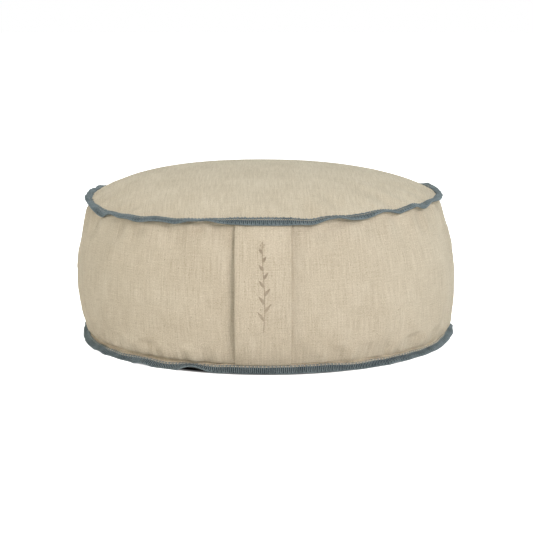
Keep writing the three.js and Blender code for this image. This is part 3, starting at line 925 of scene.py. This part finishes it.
def cover_piece(name, points, faces, cloth, node):
    """A padded piece of the linen cover whose inner points lie on the cloth map as its outer ones do."""
    piece = build(name, points, faces, np.concatenate([cloth, cloth]))
    finish_piece(piece, LINEN, stands_for=[node])


def panel(name, surface, reach, lips, cloth_reach, inner_is_up, node):
    """A round panel of cloth: surface gives its points within reach, and lips the rows on to its seam."""
    share, angle, quads, rim = disc_grid(PANEL_RINGS)
    points = surface(angle, share * reach)
    count = len(points)
    rows = lips(angle[rim])
    ring = np.arange(len(rim))
    after = np.roll(ring, -1)
    faces = [quads]
    previous = rim
    for i in range(len(rows)):
        now = count + i * len(rim) + ring
        faces.append(np.stack([previous[ring], previous[after], now[after], now[ring]], -1))
        previous = now
    outer = np.concatenate([points, rows.reshape(-1, 3)])
    total = len(outer)
    skin = build(name + "_work", outer, faces)
    normals = np.zeros(total * 3, np.float32)
    skin.data.vertices.foreach_get("normal", normals)
    normals = normals.reshape(-1, 3)
    bpy.data.objects.remove(skin)
    if (normals[:count, 2].mean() > 0) != inner_is_up:
        normals = -normals
    inner = outer + normals * CLOTH
    faces = faces + [f[:, ::-1] + total for f in faces]
    here, there = previous[ring], previous[after]
    faces.append(np.stack([here, there, there + total, here + total], -1))
    lip_reach = cloth_reach + (np.arange(len(rows)) + 1) * LIP_STEP
    far = np.concatenate([share * cloth_reach, np.repeat(lip_reach, len(rim))])
    at = np.concatenate([angle, np.tile(angle[rim], len(rows))])
    cloth = on_cloth(far * np.sin(at), -far * np.cos(at))
    cover_piece(name, np.concatenate([outer, inner]), faces, cloth, node)


# The top's rounded surface ends this far inside its seam, and its lip runs this far out and up into the edge
DOME_END = TOP_RADIUS - 3 * MM
DOME_LIP = (-0.9 * MM, 0.15 * MM), (1.2 * MM, 0.2 * MM)


def dome_surface(angle, radius):
    return place(angle, *dome_point(angle, radius))


def dome_lips(angle):
    bend, end = [top_edge.at(angle, across, out) for across, out in DOME_LIP]
    return curve_between(dome_surface(angle, DOME_END), bend, end, 7)


panel("top_cloth", dome_surface, DOME_END, dome_lips, dome_arc[-1], False, "top_panel")

# The underside lies flat, turns up this far inside its seam and runs this far out and below the edge's middle
FLOOR_BEND = BOTTOM_RADIUS - 1.6 * MM
FLOOR_LIP = (0, -0.7 * MM), (1.8 * MM, -0.45 * MM)


def floor_surface(angle, radius):
    return place(angle, radius, 0.0)


def floor_lips(angle):
    under, tip = [bottom_edge.at(angle, across, out) for across, out in FLOOR_LIP]
    first = curve_between(floor_surface(angle, FLAT_RADIUS), floor_surface(angle, FLOOR_BEND), under, 6)
    return np.concatenate([first, [(first[-1] + tip) / 2, tip]])


panel("bottom_cloth", floor_surface, FLAT_RADIUS, floor_lips, FLAT_RADIUS, True, "bottom_panel")

# ---------------------------------------------------------------- side bands

ROLL = 1.3 * MM
ROLL_STEPS = np.radians([20, 40, 60, 80, 100])
STITCH_INSET = 2.6 * MM
GROOVE = 0.25 * MM
# The band's even rows start and stop this far from its seams, this far apart
BAND_START = BOTTOM_HEIGHT + 2.6 * MM
BAND_STOP = TOP_HEIGHT - 3.2 * MM
ROW_STEP = 1.7 * MM
# Where its lips bend and end in the edges, as distances across the edge and out from its middle
LOWER_LIP_REACH = 1.8 * MM
UPPER_LIP = (-0.3 * MM, -0.75 * MM), (2.0 * MM, -0.45 * MM)


def band(name, angles, low, high, node):
    """A strip of the cover's side. A low or high of None runs on to its seam; a number is a folded edge."""
    start = BAND_START if low is None else low
    stop = BAND_STOP if high is None else high
    heights = np.linspace(start, stop, max(8, int((stop - start) / ROW_STEP)))
    radius, height = band_point(angles, heights[:, None])
    for fold, sign in ((low, 1), (high, -1)):
        if fold is not None:
            inset = (heights - fold)[:, None] * sign
            radius = radius - GROOVE * np.exp(-(((inset - STITCH_INSET) / (0.8 * MM)) ** 2))
    grid = place(angles, radius, height)
    if low is None:
        bend = place(angles, around(angles, bottom_edge.radius + VALLEY),
                     around(angles, bottom_edge.height + 0.3 * MM - 0.2 * VALLEY))
        tip = bottom_edge.at(angles, LOWER_LIP_REACH, around(angles, LIP))
        lower = curve_between(grid[0], bend, tip, 8)
    else:
        lower = rolled_rows(angles, low, -1)
    if high is None:
        bend, tip = [top_edge.at(angles, across, out) for across, out in UPPER_LIP]
        upper = curve_between(grid[-1], bend, tip, 8)
    else:
        upper = rolled_rows(angles, high, 1)
    grid = with_rolled_ends(np.concatenate([lower[::-1], grid, upper]))
    points, faces = shell(grid, grid - outward_normals(grid) * CLOTH)
    step_up = np.linalg.norm(np.diff(grid, axis=0), axis=-1).mean(1)
    up = np.concatenate([[0], np.cumsum(step_up)]) + (low or 0)
    on = run_length(grid[len(grid) // 2]) + angles[0] * WAIST_RADIUS
    cover_piece(name, points, faces, on_cloth(on, up[:, None]).reshape(-1, 2), node)


def rolled_rows(angles, height, sign):
    """Rows where the cloth folds in behind a level edge at a height."""
    radius, at = band_point(angles, np.full((1, 1), height))
    roll = ROLL_STEPS[:, None]
    return place(angles, radius - ROLL * (1 - np.cos(roll)), at + sign * ROLL * np.sin(roll))


def with_rolled_ends(grid):
    """Columns where the cloth turns in at its upright seams."""
    normal = outward_normals(grid)
    sides = []
    for column, neighbour in ((0, 1), (-1, -2)):
        along = unit(grid[:, column] - grid[:, neighbour])
        rows = [grid[:, column] + along * ROLL * math.sin(a) - normal[:, column] * ROLL * (1 - math.cos(a))
                for a in ROLL_STEPS]
        sides.append(np.stack(rows, 1))
    return np.concatenate([sides[0][:, ::-1], grid, sides[1]], 1)


END = ROLL / WAIST_RADIUS
ZIP_FOLD_LOW = ZIP_HEIGHT - PLACKET - ROLL + 0.4 * MM
ZIP_FOLD_HIGH = ZIP_HEIGHT + PLACKET + ROLL - 1.1 * MM
front_angles = np.linspace(-(math.pi - BAND_END) + END, math.pi - BAND_END - END, 330)
zip_angles = np.linspace(math.pi - BAND_END + END, math.pi + BAND_END - END, 250)
band("band_front", front_angles, None, None, "side_band")
band("band_zip_upper", zip_angles, ZIP_FOLD_HIGH, None, "zip_band_upper")
band("band_zip_lower", zip_angles, None, ZIP_FOLD_LOW, "zip_band_lower")

# Stitch length, gap and thread radius of the cover's seams, of the edge's needle line and of the strap
BAND_STITCH = 2.5 * MM, 0.6 * MM, 0.28 * MM
NEEDLE_STITCH = 2.3 * MM, 0.7 * MM, 0.3 * MM
STRAP_STITCH = 2.4 * MM, 0.6 * MM, 0.26 * MM


def on_band(angle, height, lift):
    """Points on the band, and the directions out of it."""
    radius, at = band_point(angle, height)
    out = unit(np.stack(np.broadcast_arrays(np.sin(angle), -np.cos(angle), -side_slope(height)), -1))
    return place(angle, radius, at) + out * lift, out


def seam_stitching():
    """Topstitching along the zip's two folds and beside the upright seams."""
    parts = []
    long_way = np.linspace(math.pi - BAND_END + 0.03, math.pi + BAND_END - 0.03, 600)
    for height in (ZIP_FOLD_LOW - STITCH_INSET, ZIP_FOLD_HIGH + STITCH_INSET):
        parts.append(stitches(*on_band(long_way, height, -0.1 * MM), *BAND_STITCH))
    up = np.linspace(BOTTOM_HEIGHT + 6 * MM, TOP_HEIGHT - 6 * MM, 120)
    for end, sign in ((math.pi - BAND_END, -1), (math.pi + BAND_END, 1)):
        angle = end + sign * (STITCH_INSET + MM) / WAIST_RADIUS
        parts.append(stitches(*on_band(angle, up, -0.05 * MM), *BAND_STITCH))
    return build("band_stitching", *merged(parts), tidy=False)


finish_piece(seam_stitching(), SEWING)

# -------------------------------------------------------------- edges, built

# The cores begin just outside the seam, and the top one just inside it at the front
CORE_START = 0.2 * MM
CORE_IN_FRONT = 1.2 * MM * facing(-30, 30, 16)
# The needle line on the top edge: how far out from the seam and how high over the edge's middle it runs
NEEDLE_OUT = 0.7 * MM
NEEDLE_LIFT = 1.1 * MM

for name, edge, reach, node in (
    ("top_edge", top_edge, top_reach, "top_edge_overlock"),
    ("bottom_edge", bottom_edge, bottom_reach, "bottom_edge_overlock"),
):
    core = edge_core(name + "_core", edge, CORE_START - CORE_IN_FRONT * (edge is top_edge))
    # The core's near-black colour is painted shade between the wraps of thread
    finish_piece(core, CORE_PAINTED_SHADE, stands_for=[node])
    finish_piece(edge_threads(name + "_threads", edge, reach), SLATE)

needle_angle = np.linspace(0, TURN, 4000)
needle_path = top_edge.at(needle_angle, NEEDLE_OUT, NEEDLE_LIFT)
needle_out = needle_path - top_edge.at(needle_angle, NEEDLE_OUT, 0)
needle = build("top_edge_needle_thread", *stitches(needle_path, needle_out, *NEEDLE_STITCH), tidy=False)
finish_piece(needle, SLATE)

# -------------------------------------------------------------------- strap

STRAP_LOW, STRAP_HIGH = 7.3 * MM, 119.8 * MM
STRAP_THICK = 2.0 * MM
STRAP_LEFT_GAP, STRAP_RIGHT_GAP = 4.9 * MM, 1.3 * MM
HALF = STRAP_WIDTH / 2
# The stitch lines sit this many mm in from the strap's edges, in a shallow groove
STRAP_STITCH_INSET = 2.3
STRAP_GROOVE = 0.18
# Where the strap lies on the flat cloth, so that its weave differs from the side's
STRAP_CLOTH_AT = 0.4, 0.3


def strap_run(height):
    """How far a height is from the middle of the strap, from 0 to 1 at its ends."""
    return np.abs(2 * (height - STRAP_LOW) / (STRAP_HIGH - STRAP_LOW) - 1)


def strap_frame(across, height):
    """Points on the back of the strap, at distances across from its middle, and the directions out of it."""
    across, height = np.broadcast_arrays(across, height)
    bow = np.clip(1 - strap_run(height) ** 2.6, 0, 1)
    lean = np.clip(across / HALF, -1, 1)
    gap = (STRAP_LEFT_GAP + STRAP_RIGHT_GAP) / 2 + (STRAP_RIGHT_GAP - STRAP_LEFT_GAP) / 2 * lean
    gap = gap + 0.5 * MM * (1 - lean**2)
    wave = 0.18 * MM * np.sin(height / (19 * MM) + 1.1) * np.sin(across / (11 * MM))
    x = STRAP_MIDDLE + across
    radius = side_radius(height)
    y = -np.sqrt(radius**2 - x**2) - 0.25 * MM - gap * bow - wave * bow
    turn = x / radius * 0.8
    out = unit(np.stack([turn, -np.sqrt(1 - turn**2), -side_slope(height)], -1))
    return np.stack([x, y, height], -1), out


def strap_thickness(height):
    return STRAP_THICK - 0.7 * MM * strap_run(height) ** 8


def on_strap(across, height, lift):
    """Points above the face of the strap, and the directions out of it."""
    points, out = strap_frame(across, height)
    groove = hump(HALF - np.abs(across), STRAP_STITCH_INSET, 0.7) * STRAP_GROOVE * MM
    return points + out * (strap_thickness(height) - groove + lift)[..., None], out


def strap_mesh():
    """The doubled strap, with its two folded edges rounded."""
    heights = np.linspace(STRAP_LOW, STRAP_HIGH, 96)
    across = np.linspace(-HALF + 1.0 * MM, HALF - 1.0 * MM, 44)
    turns = np.radians(np.linspace(90, -90, 9)[1:-1])
    middle = strap_thickness(heights) / 2

    def fold(side, turns):
        """Columns round one folded edge."""
        base, out = strap_frame(side * (HALF - MM), heights)
        away = unit(np.cross(out, [0, 0, 1.0]))
        away = side * away * np.sign(away[:, :1])
        return [base + out * (middle * (1 + math.sin(a)))[:, None] + away * (MM * math.cos(a)) for a in turns]

    columns = [on_strap(x, heights, 0)[0] for x in across] + fold(1, turns)
    columns += [strap_frame(x, heights)[0] for x in across[::-1]] + fold(-1, turns[::-1])
    points = np.stack(columns, 1)
    rows, count = points.shape[:2]
    last = (rows - 1) * count
    faces = [grid_quads(rows, count, True), np.arange(count)[None, ::-1], last + np.arange(count)[None]]
    girth = run_length(points[rows // 2])
    cloth = on_cloth(girth + STRAP_CLOTH_AT[0], heights[:, None] + STRAP_CLOTH_AT[1])
    return build("strap", points, faces, cloth)


def hinge_strap(piece):
    """Bakes the strap piece's placement into its points."""
    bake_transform(piece)


def sewn_on_strap(name, parts, material):
    hinge_strap(finish_piece(build(name, *merged(parts), tidy=False), material, body=None))


strap = finish_piece(strap_mesh(), LINEN, body=None, stands_for=["carry_handle"])
hinge_strap(strap)
up = np.linspace(STRAP_LOW + 3 * MM, STRAP_HIGH - 3 * MM, 200)
strap_rows = [stitches(*on_strap(side * (HALF - STRAP_STITCH_INSET * MM), up, 0.02 * MM), *STRAP_STITCH)
              for side in (-1, 1)]
sewn_on_strap("strap_stitching", strap_rows, SEWING)

# A plain sprig is embroidered up the strap, tone on tone. Its measures are in mm
STEM_LOW, STEM_HIGH, STEM_STEP, STEM_STITCH = 36, 102, 1.9, 3.0
LEAF_LOW, LEAF_HIGH, LEAF_STEP = 46, 98, 6.4
LEAF_LEAN = math.radians(38)
BUDS = (0, 104.6), (-1.3, 102.9), (1.5, 103.1), (0.3, 101.6)


def sprig():
    """A swaying stem, leaves in satin stitch on either side and a tuft of knots at the top."""
    parts = []

    def sew(x, z, lift, radius):
        parts.append(tube(*on_strap(x, z, lift), radius))

    def stem_at(z):
        return 0.9 * MM * np.sin((z - 36 * MM) / (68 * MM) * math.pi * 1.6) + 0.4 * MM

    for low in np.arange(STEM_LOW * MM, STEM_HIGH * MM, STEM_STEP * MM):
        z = np.linspace(low, low + STEM_STITCH * MM, 6)
        arch = 0.22 * MM * np.sin(np.linspace(0, math.pi, 6)) - 0.12 * MM
        sew(stem_at(z) + np.linspace(-0.22, 0.22, 6) * MM, z, arch, 0.24 * MM)
    for i, base in enumerate(np.arange(LEAF_LOW * MM, LEAF_HIGH * MM, LEAF_STEP * MM)):
        side = 1 if i % 2 else -1
        length = (8.5 - 0.55 * i) * MM
        root = np.array([stem_at(base), base])
        axis = np.array([side * math.sin(LEAF_LEAN), math.cos(LEAF_LEAN)])
        normal = np.array([axis[1], -axis[0]])
        steps = np.linspace(0, 1, 5)
        for share in np.linspace(0.12, 1, 11):
            half_width = 1.25 * MM * math.sin(math.pi * share**0.8) ** 0.8
            for way in (-1, 1):
                inner = root + axis * length * share
                outer = root + axis * length * (share - 0.09) + normal * way * max(half_width, 0.2 * MM)
                x, z = [a + (b - a) * steps for a, b in zip(inner, outer)]
                sew(x, z, 0.16 * MM * np.sin(np.pi * steps) - 0.08 * MM, 0.2 * MM)
    turn = np.linspace(0, 2.6 * TURN, 26)
    spiral = np.linspace(0.15, 0.55, 26) * MM
    for x, z in BUDS:
        sew(stem_at(104 * MM) + x * MM + spiral * np.cos(turn), z * MM + spiral * np.sin(turn),
            0.3 * MM - np.linspace(0, 0.25, 26) * MM, 0.2 * MM)
    return parts


sewn_on_strap("strap_embroidery", sprig(), TAUPE)

# ---------------------------------------------------------------------- zip

for node in ("zip_slider", "zip_pull", "zip_top_stop_upper", "zip_top_stop_lower", "zip_bottom_stop"):
    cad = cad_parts[node]
    cad.data.materials.clear()
    cad.data.materials.append(METAL)
    bevel = cad.modifiers.new("worn_edges", "BEVEL")
    bevel.width = 0.18 * MM
    bevel.segments = 3
    bevel.limit_method = "ANGLE"
    bevel.angle_limit = math.radians(35)
    bevel.harden_normals = False


# The zip's tapes and coils: how far round they go, how far inside the cover, and the make of the coil's wire
TAPE_END = math.radians(77.6)
TAPE_INSET = 2.2 * MM
TAPE_THICK = 0.5 * MM
COIL_END = math.radians(74.95)
COIL_PITCH = 1.25 * MM
COIL_STEPS = 10
WIRE = 0.29 * MM
COIL_DEPTH = 0.72 * MM


def zip_half(side, word):
    """A tape and its coil, above (1) or below (-1) the middle of the zip."""
    angle = np.linspace(math.pi - TAPE_END, math.pi + TAPE_END, 260)
    lip, far = [corner.z - ZIP_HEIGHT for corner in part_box("zip_tape_" + word)[::side]]
    heights = (ZIP_HEIGHT + np.linspace(lip, far, 15))[:, None]
    radius = side_radius(heights) - TAPE_INSET
    cord = 0.25 * MM * hump(heights - heights[0], 0, 0.7)
    points, faces = shell(turned(angle, radius + cord, heights), turned(angle, radius - TAPE_THICK, heights))
    cloth = on_cloth(angle * WAIST_RADIUS, heights).reshape(-1, 2)
    tape = build("tape_" + word, points, faces, np.concatenate([cloth, cloth]))
    finish_piece(tape, TAPE, stands_for=["zip_tape_" + word])

    low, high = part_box("zip_coil_" + word)
    middle = (low.z + high.z) / 2
    half = (high.z - low.z) / 2 - 0.28 * MM
    turns = int(2 * COIL_END * high.y / COIL_PITCH)
    t = np.arange(turns * COIL_STEPS + 1) / COIL_STEPS
    along = math.pi - COIL_END + 2 * COIL_END * t / turns
    swing = TURN * t
    inside = high.y - WIRE - COIL_DEPTH
    winding = inside + COIL_DEPTH * rounded(np.cos(swing), 0.8)
    path = turned(along, winding, middle + half * rounded(np.sin(swing), 0.8))
    coil = build("coil_" + word, *tube(path, path - turned(along, inside, middle), WIRE), tidy=False)
    finish_piece(coil, NYLON, stands_for=["zip_coil_" + word])


zip_half(1, "upper")
zip_half(-1, "lower")

# -------------------------------------------------------- label, bag and fill

LABEL_ANGLE = math.radians(180 - 40)
LABEL_RADIUS = 162.8 * MM
LABEL_THICK = 0.3 * MM


def label():
    """A blank ribbon inside the cover, a little wavy towards its free lower end."""
    low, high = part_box("care_label")
    out = np.array([math.sin(LABEL_ANGLE), -math.cos(LABEL_ANGLE), 0])
    along = np.array([out[1], -out[0], 0])
    x = np.linspace(-9.8, 9.8, 22) * MM
    z = np.linspace(low.z + 0.2 * MM, high.z - 0.1 * MM, 20)[:, None]
    bend = 0.12 * MM * np.sin(x / (4 * MM)) * ((high.z - z) / (high.z - low.z))
    upright = np.array([0, 0, 1]) * z[..., None]
    grid = out * (LABEL_RADIUS + bend)[..., None] + along * x[None, :, None] + upright
    points, faces = shell(grid, grid - out * LABEL_THICK)
    cloth = on_cloth(x, z).reshape(-1, 2)
    return build("blank_label", points, faces, np.concatenate([cloth, cloth]))


finish_piece(label(), SATIN, stands_for=["care_label"])


def lathe(profile, columns, bulge, closed_profile=True):
    """A turned skin through (radius, height) points, with small bulges, that follows the cover's top seam."""
    angle = np.arange(columns) / columns * TURN
    radius, height = np.array(profile).T[:, :, None]
    radius = radius + bulge(angle, np.arange(len(profile)))
    drawn = np.clip(radius / TOP_RADIUS, 0, 1) ** 4
    drawn = drawn * np.clip((height - WAIST_HEIGHT) / (TOP_HEIGHT - WAIST_HEIGHT), 0, 1) ** 3
    height = height + drawn * around(angle, TOP_SHIFT_UP)
    radius = radius + drawn * around(angle, TOP_SHIFT_OUT)
    return turned(angle, radius, height), [grid_quads(len(profile), columns, True, closed_profile)]


def bag_side(inset, rows, low, high):
    heights = np.linspace(low, high, rows)
    return np.stack([side_radius(heights) - inset, heights], -1)


def bag_top(inset, rows, edge):
    radii = np.linspace(MIDDLE_HOLE, edge, rows)
    return np.stack([radii, dome_height(radii) - inset], -1)


def bag_bottom(height, rows):
    return np.stack([np.linspace(MIDDLE_HOLE, bag_bottom_radius, rows), np.full(rows, height)], -1)


def flat_map(points):
    """Each point's place on the flat cloth: round the side for upright parts."""
    angle = np.arctan2(points[:, 0], -points[:, 1])
    return np.stack([angle * WAIST_RADIUS, points[:, 2] + np.hypot(points[:, 0], points[:, 1])], -1)


def bag_piece(name, profile, node):
    points, faces = lathe(profile, 192, lambda a, r: 0.25 * MM * (np.sin(9 * a + r[:, None]) - 1))
    piece = build(name, points, faces, flat_map(points.reshape(-1, 3)))
    finish_piece(piece, CALICO, stands_for=[node])


# The bag's panels lie between these distances inside the cover, with a pinhole in the middle of the turned ones
BAG_TOP_INSETS = 2.7 * MM, 3.3 * MM
BAG_SIDE_INSETS = 5.2 * MM, 5.7 * MM
BAG_BOTTOM_LIFTS = 0.05 * MM, 0.75 * MM
MIDDLE_HOLE = 0.5 * MM
SEAM_FULLNESS = 0.9

bag_top_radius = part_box("liner_top_panel")[1].x
bag_bottom_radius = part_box("liner_bottom_panel")[1].x
bag_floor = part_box("liner_bottom_panel")[0].z
side_low, side_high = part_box("liner_side_band")


def doubled(row_of, faces_at):
    """A closed profile through the two faces of a panel."""
    first, second = [row_of(at) for at in faces_at]
    return np.concatenate([first, second[::-1]])


bag_piece("bag_top", doubled(lambda inset: bag_top(inset, 40, bag_top_radius), BAG_TOP_INSETS),
          "liner_top_panel")
bag_piece("bag_side", doubled(lambda inset: bag_side(inset, 40, side_low.z, side_high.z), BAG_SIDE_INSETS),
          "liner_side_band")
bag_piece("bag_bottom", doubled(lambda lift: bag_bottom(bag_floor + lift, 30), BAG_BOTTOM_LIFTS),
          "liner_bottom_panel")
for name, node in (("bag_top_seam", "liner_top_seam"), ("bag_bottom_seam", "liner_bottom_seam")):
    low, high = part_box(node)
    bead = (high.z - low.z) / 2
    turn = np.linspace(0, TURN, 13)[:-1]
    middle = (low.z + high.z) / 2
    profile = np.stack([high.x - bead + bead * SEAM_FULLNESS * np.cos(turn),
                        middle + bead * SEAM_FULLNESS * np.sin(turn)], -1)
    bag_piece(name, profile, node)

# The filling lies just inside the bag
FILL_SIDE_INSET = 4.9 * MM + (LINER_CLOTH + 0.3 * MM) + 0.3 * MM
FILL_TOP_INSET = 2.4 * MM + (LINER_CLOTH + 0.3 * MM) + 0.2 * MM
profile = np.concatenate([
    bag_bottom(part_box("filling")[0].z, 40),
    bag_side(FILL_SIDE_INSET, 60, side_low.z, side_high.z),
    bag_top(FILL_TOP_INSET, 60, bag_top_radius)[::-1],
])


def hull_bumps(angle, row):
    random = np.random.default_rng(61)
    return -0.5 * MM * random.random((len(row), len(angle)))


points, faces = lathe(profile, 240, hull_bumps, closed_profile=False)
rows, columns = points.shape[:2]
faces += [np.arange(columns)[None], ((rows - 1) * columns + np.arange(columns))[None, ::-1]]
filling = build("hull_filling", points, faces)
finish_piece(filling, HUSKS, stands_for=["filling"])

# -------------------------------------------------------- light and backdrop

scene = bpy.context.scene
scene.view_settings.view_transform = "Standard"
world = bpy.data.worlds.new("world")
scene.world = world
world.use_nodes = True
SKY = 0.91, 1.0, 0.98, 1
SKY_STRENGTH = 0.47
sky = world.node_tree.nodes["Background"]
sky.inputs["Color"].default_value = SKY
sky.inputs["Strength"].default_value = SKY_STRENGTH

# The studio's half width in metres, the radii over which the shade under the cushion ends, and that shade
STUDIO = 14
SHADE_START, SHADE_END = 0.1595, 0.164
UNDER_SHADE = 0.03, 0.03, 0.035


def floor_plane(name, color, glow, height):
    """A floor that is dark under the cushion and glows round it by its share."""
    corners = np.array([[-1, -1, 0], [1, -1, 0], [1, 1, 0], [-1, 1, 0]]) * STUDIO + [0, 0, height]
    plane = build(name, corners, [np.array([[0, 1, 2, 3]])], tidy=False)
    n = Nodes(name)
    away = n.add("ShaderNodeVectorMath", {0: n.add("ShaderNodeTexCoord", out=3)}, out=1, operation="LENGTH")
    n.put(n.shader.inputs["Emission Color"], n.ramp(away, [(SHADE_START, (0, 0, 0)), (SHADE_END, (1, 1, 1))]))
    n.put(n.shader.inputs["Emission Strength"], glow)
    shade = n.ramp(away, [(SHADE_START, UNDER_SHADE), (SHADE_END, color)])
    plane.data.materials.append(n.done(shade, 0.9, Specular_IOR_Level=0.1))
    return plane


def backdrop():
    """A pale round wall and ceiling, far behind the floor."""
    up = np.radians(np.linspace(-1, 90, 24))[:, None]
    angle = np.arange(64) / 64 * TURN
    reach = STUDIO * 0.98
    points = turned(angle, reach * np.cos(up), reach * np.sin(up))
    wall = build("backdrop", points, [grid_quads(24, 64, True)], tidy=False)
    n = Nodes("backdrop")
    n.put(n.shader.inputs["Emission Color"], (1, 1, 1, 1))
    n.put(n.shader.inputs["Emission Strength"], 1.0)
    wall.data.materials.append(n.done((0, 0, 0, 1), 1.0, Specular_IOR_Level=0.0))
    return wall


# The floor the camera sees throws no light back: a second one just below it, which the camera can't see, does
floor = floor_plane("floor", (0.80, 0.80, 0.79), 1.0, -0.2 * MM)
floor_light = floor_plane("floor_bounce", (0.84, 0.83, 0.82), 0.0, -0.6 * MM)
floor_light.visible_camera = False
for seen in (floor, backdrop()):
    seen.visible_diffuse = False
    seen.visible_shadow = False
    seen.visible_glossy = False


def softbox(name, position, target, size, power, color):
    """A rectangular lamp of a size in metres and a power in watts, aimed at a target."""
    data = bpy.data.lights.new(name, "AREA")
    data.shape = "RECTANGLE"
    data.size, data.size_y = size
    data.energy = power
    data.color = color
    lamp = bpy.data.objects.new(name, data)
    lamp.location = position
    direction = Vector(target) - Vector(position)
    lamp.rotation_euler = direction.to_track_quat("-Z", "Y").to_euler()
    scene.collection.objects.link(lamp)


softbox("key", (0.95, -1.75, 1.1), (0, 0, 0.07), (0.8, 0.8), 25, (1.0, 0.93, 0.94))
softbox("left", (-1.9, -0.9, 0.9), (0, 0, 0.07), (1.2, 1.2), 16.5, (1.0, 0.92, 0.84))
softbox("right", (1.8, 0.1, 0.8), (0, 0, 0.07), (1.0, 1.2), 6, (0.80, 0.95, 1.0))
softbox("top", (-0.1, 0.5, 1.9), (0, 0, 0.1), (1.6, 1.6), 9, (0.95, 0.99, 1.0))
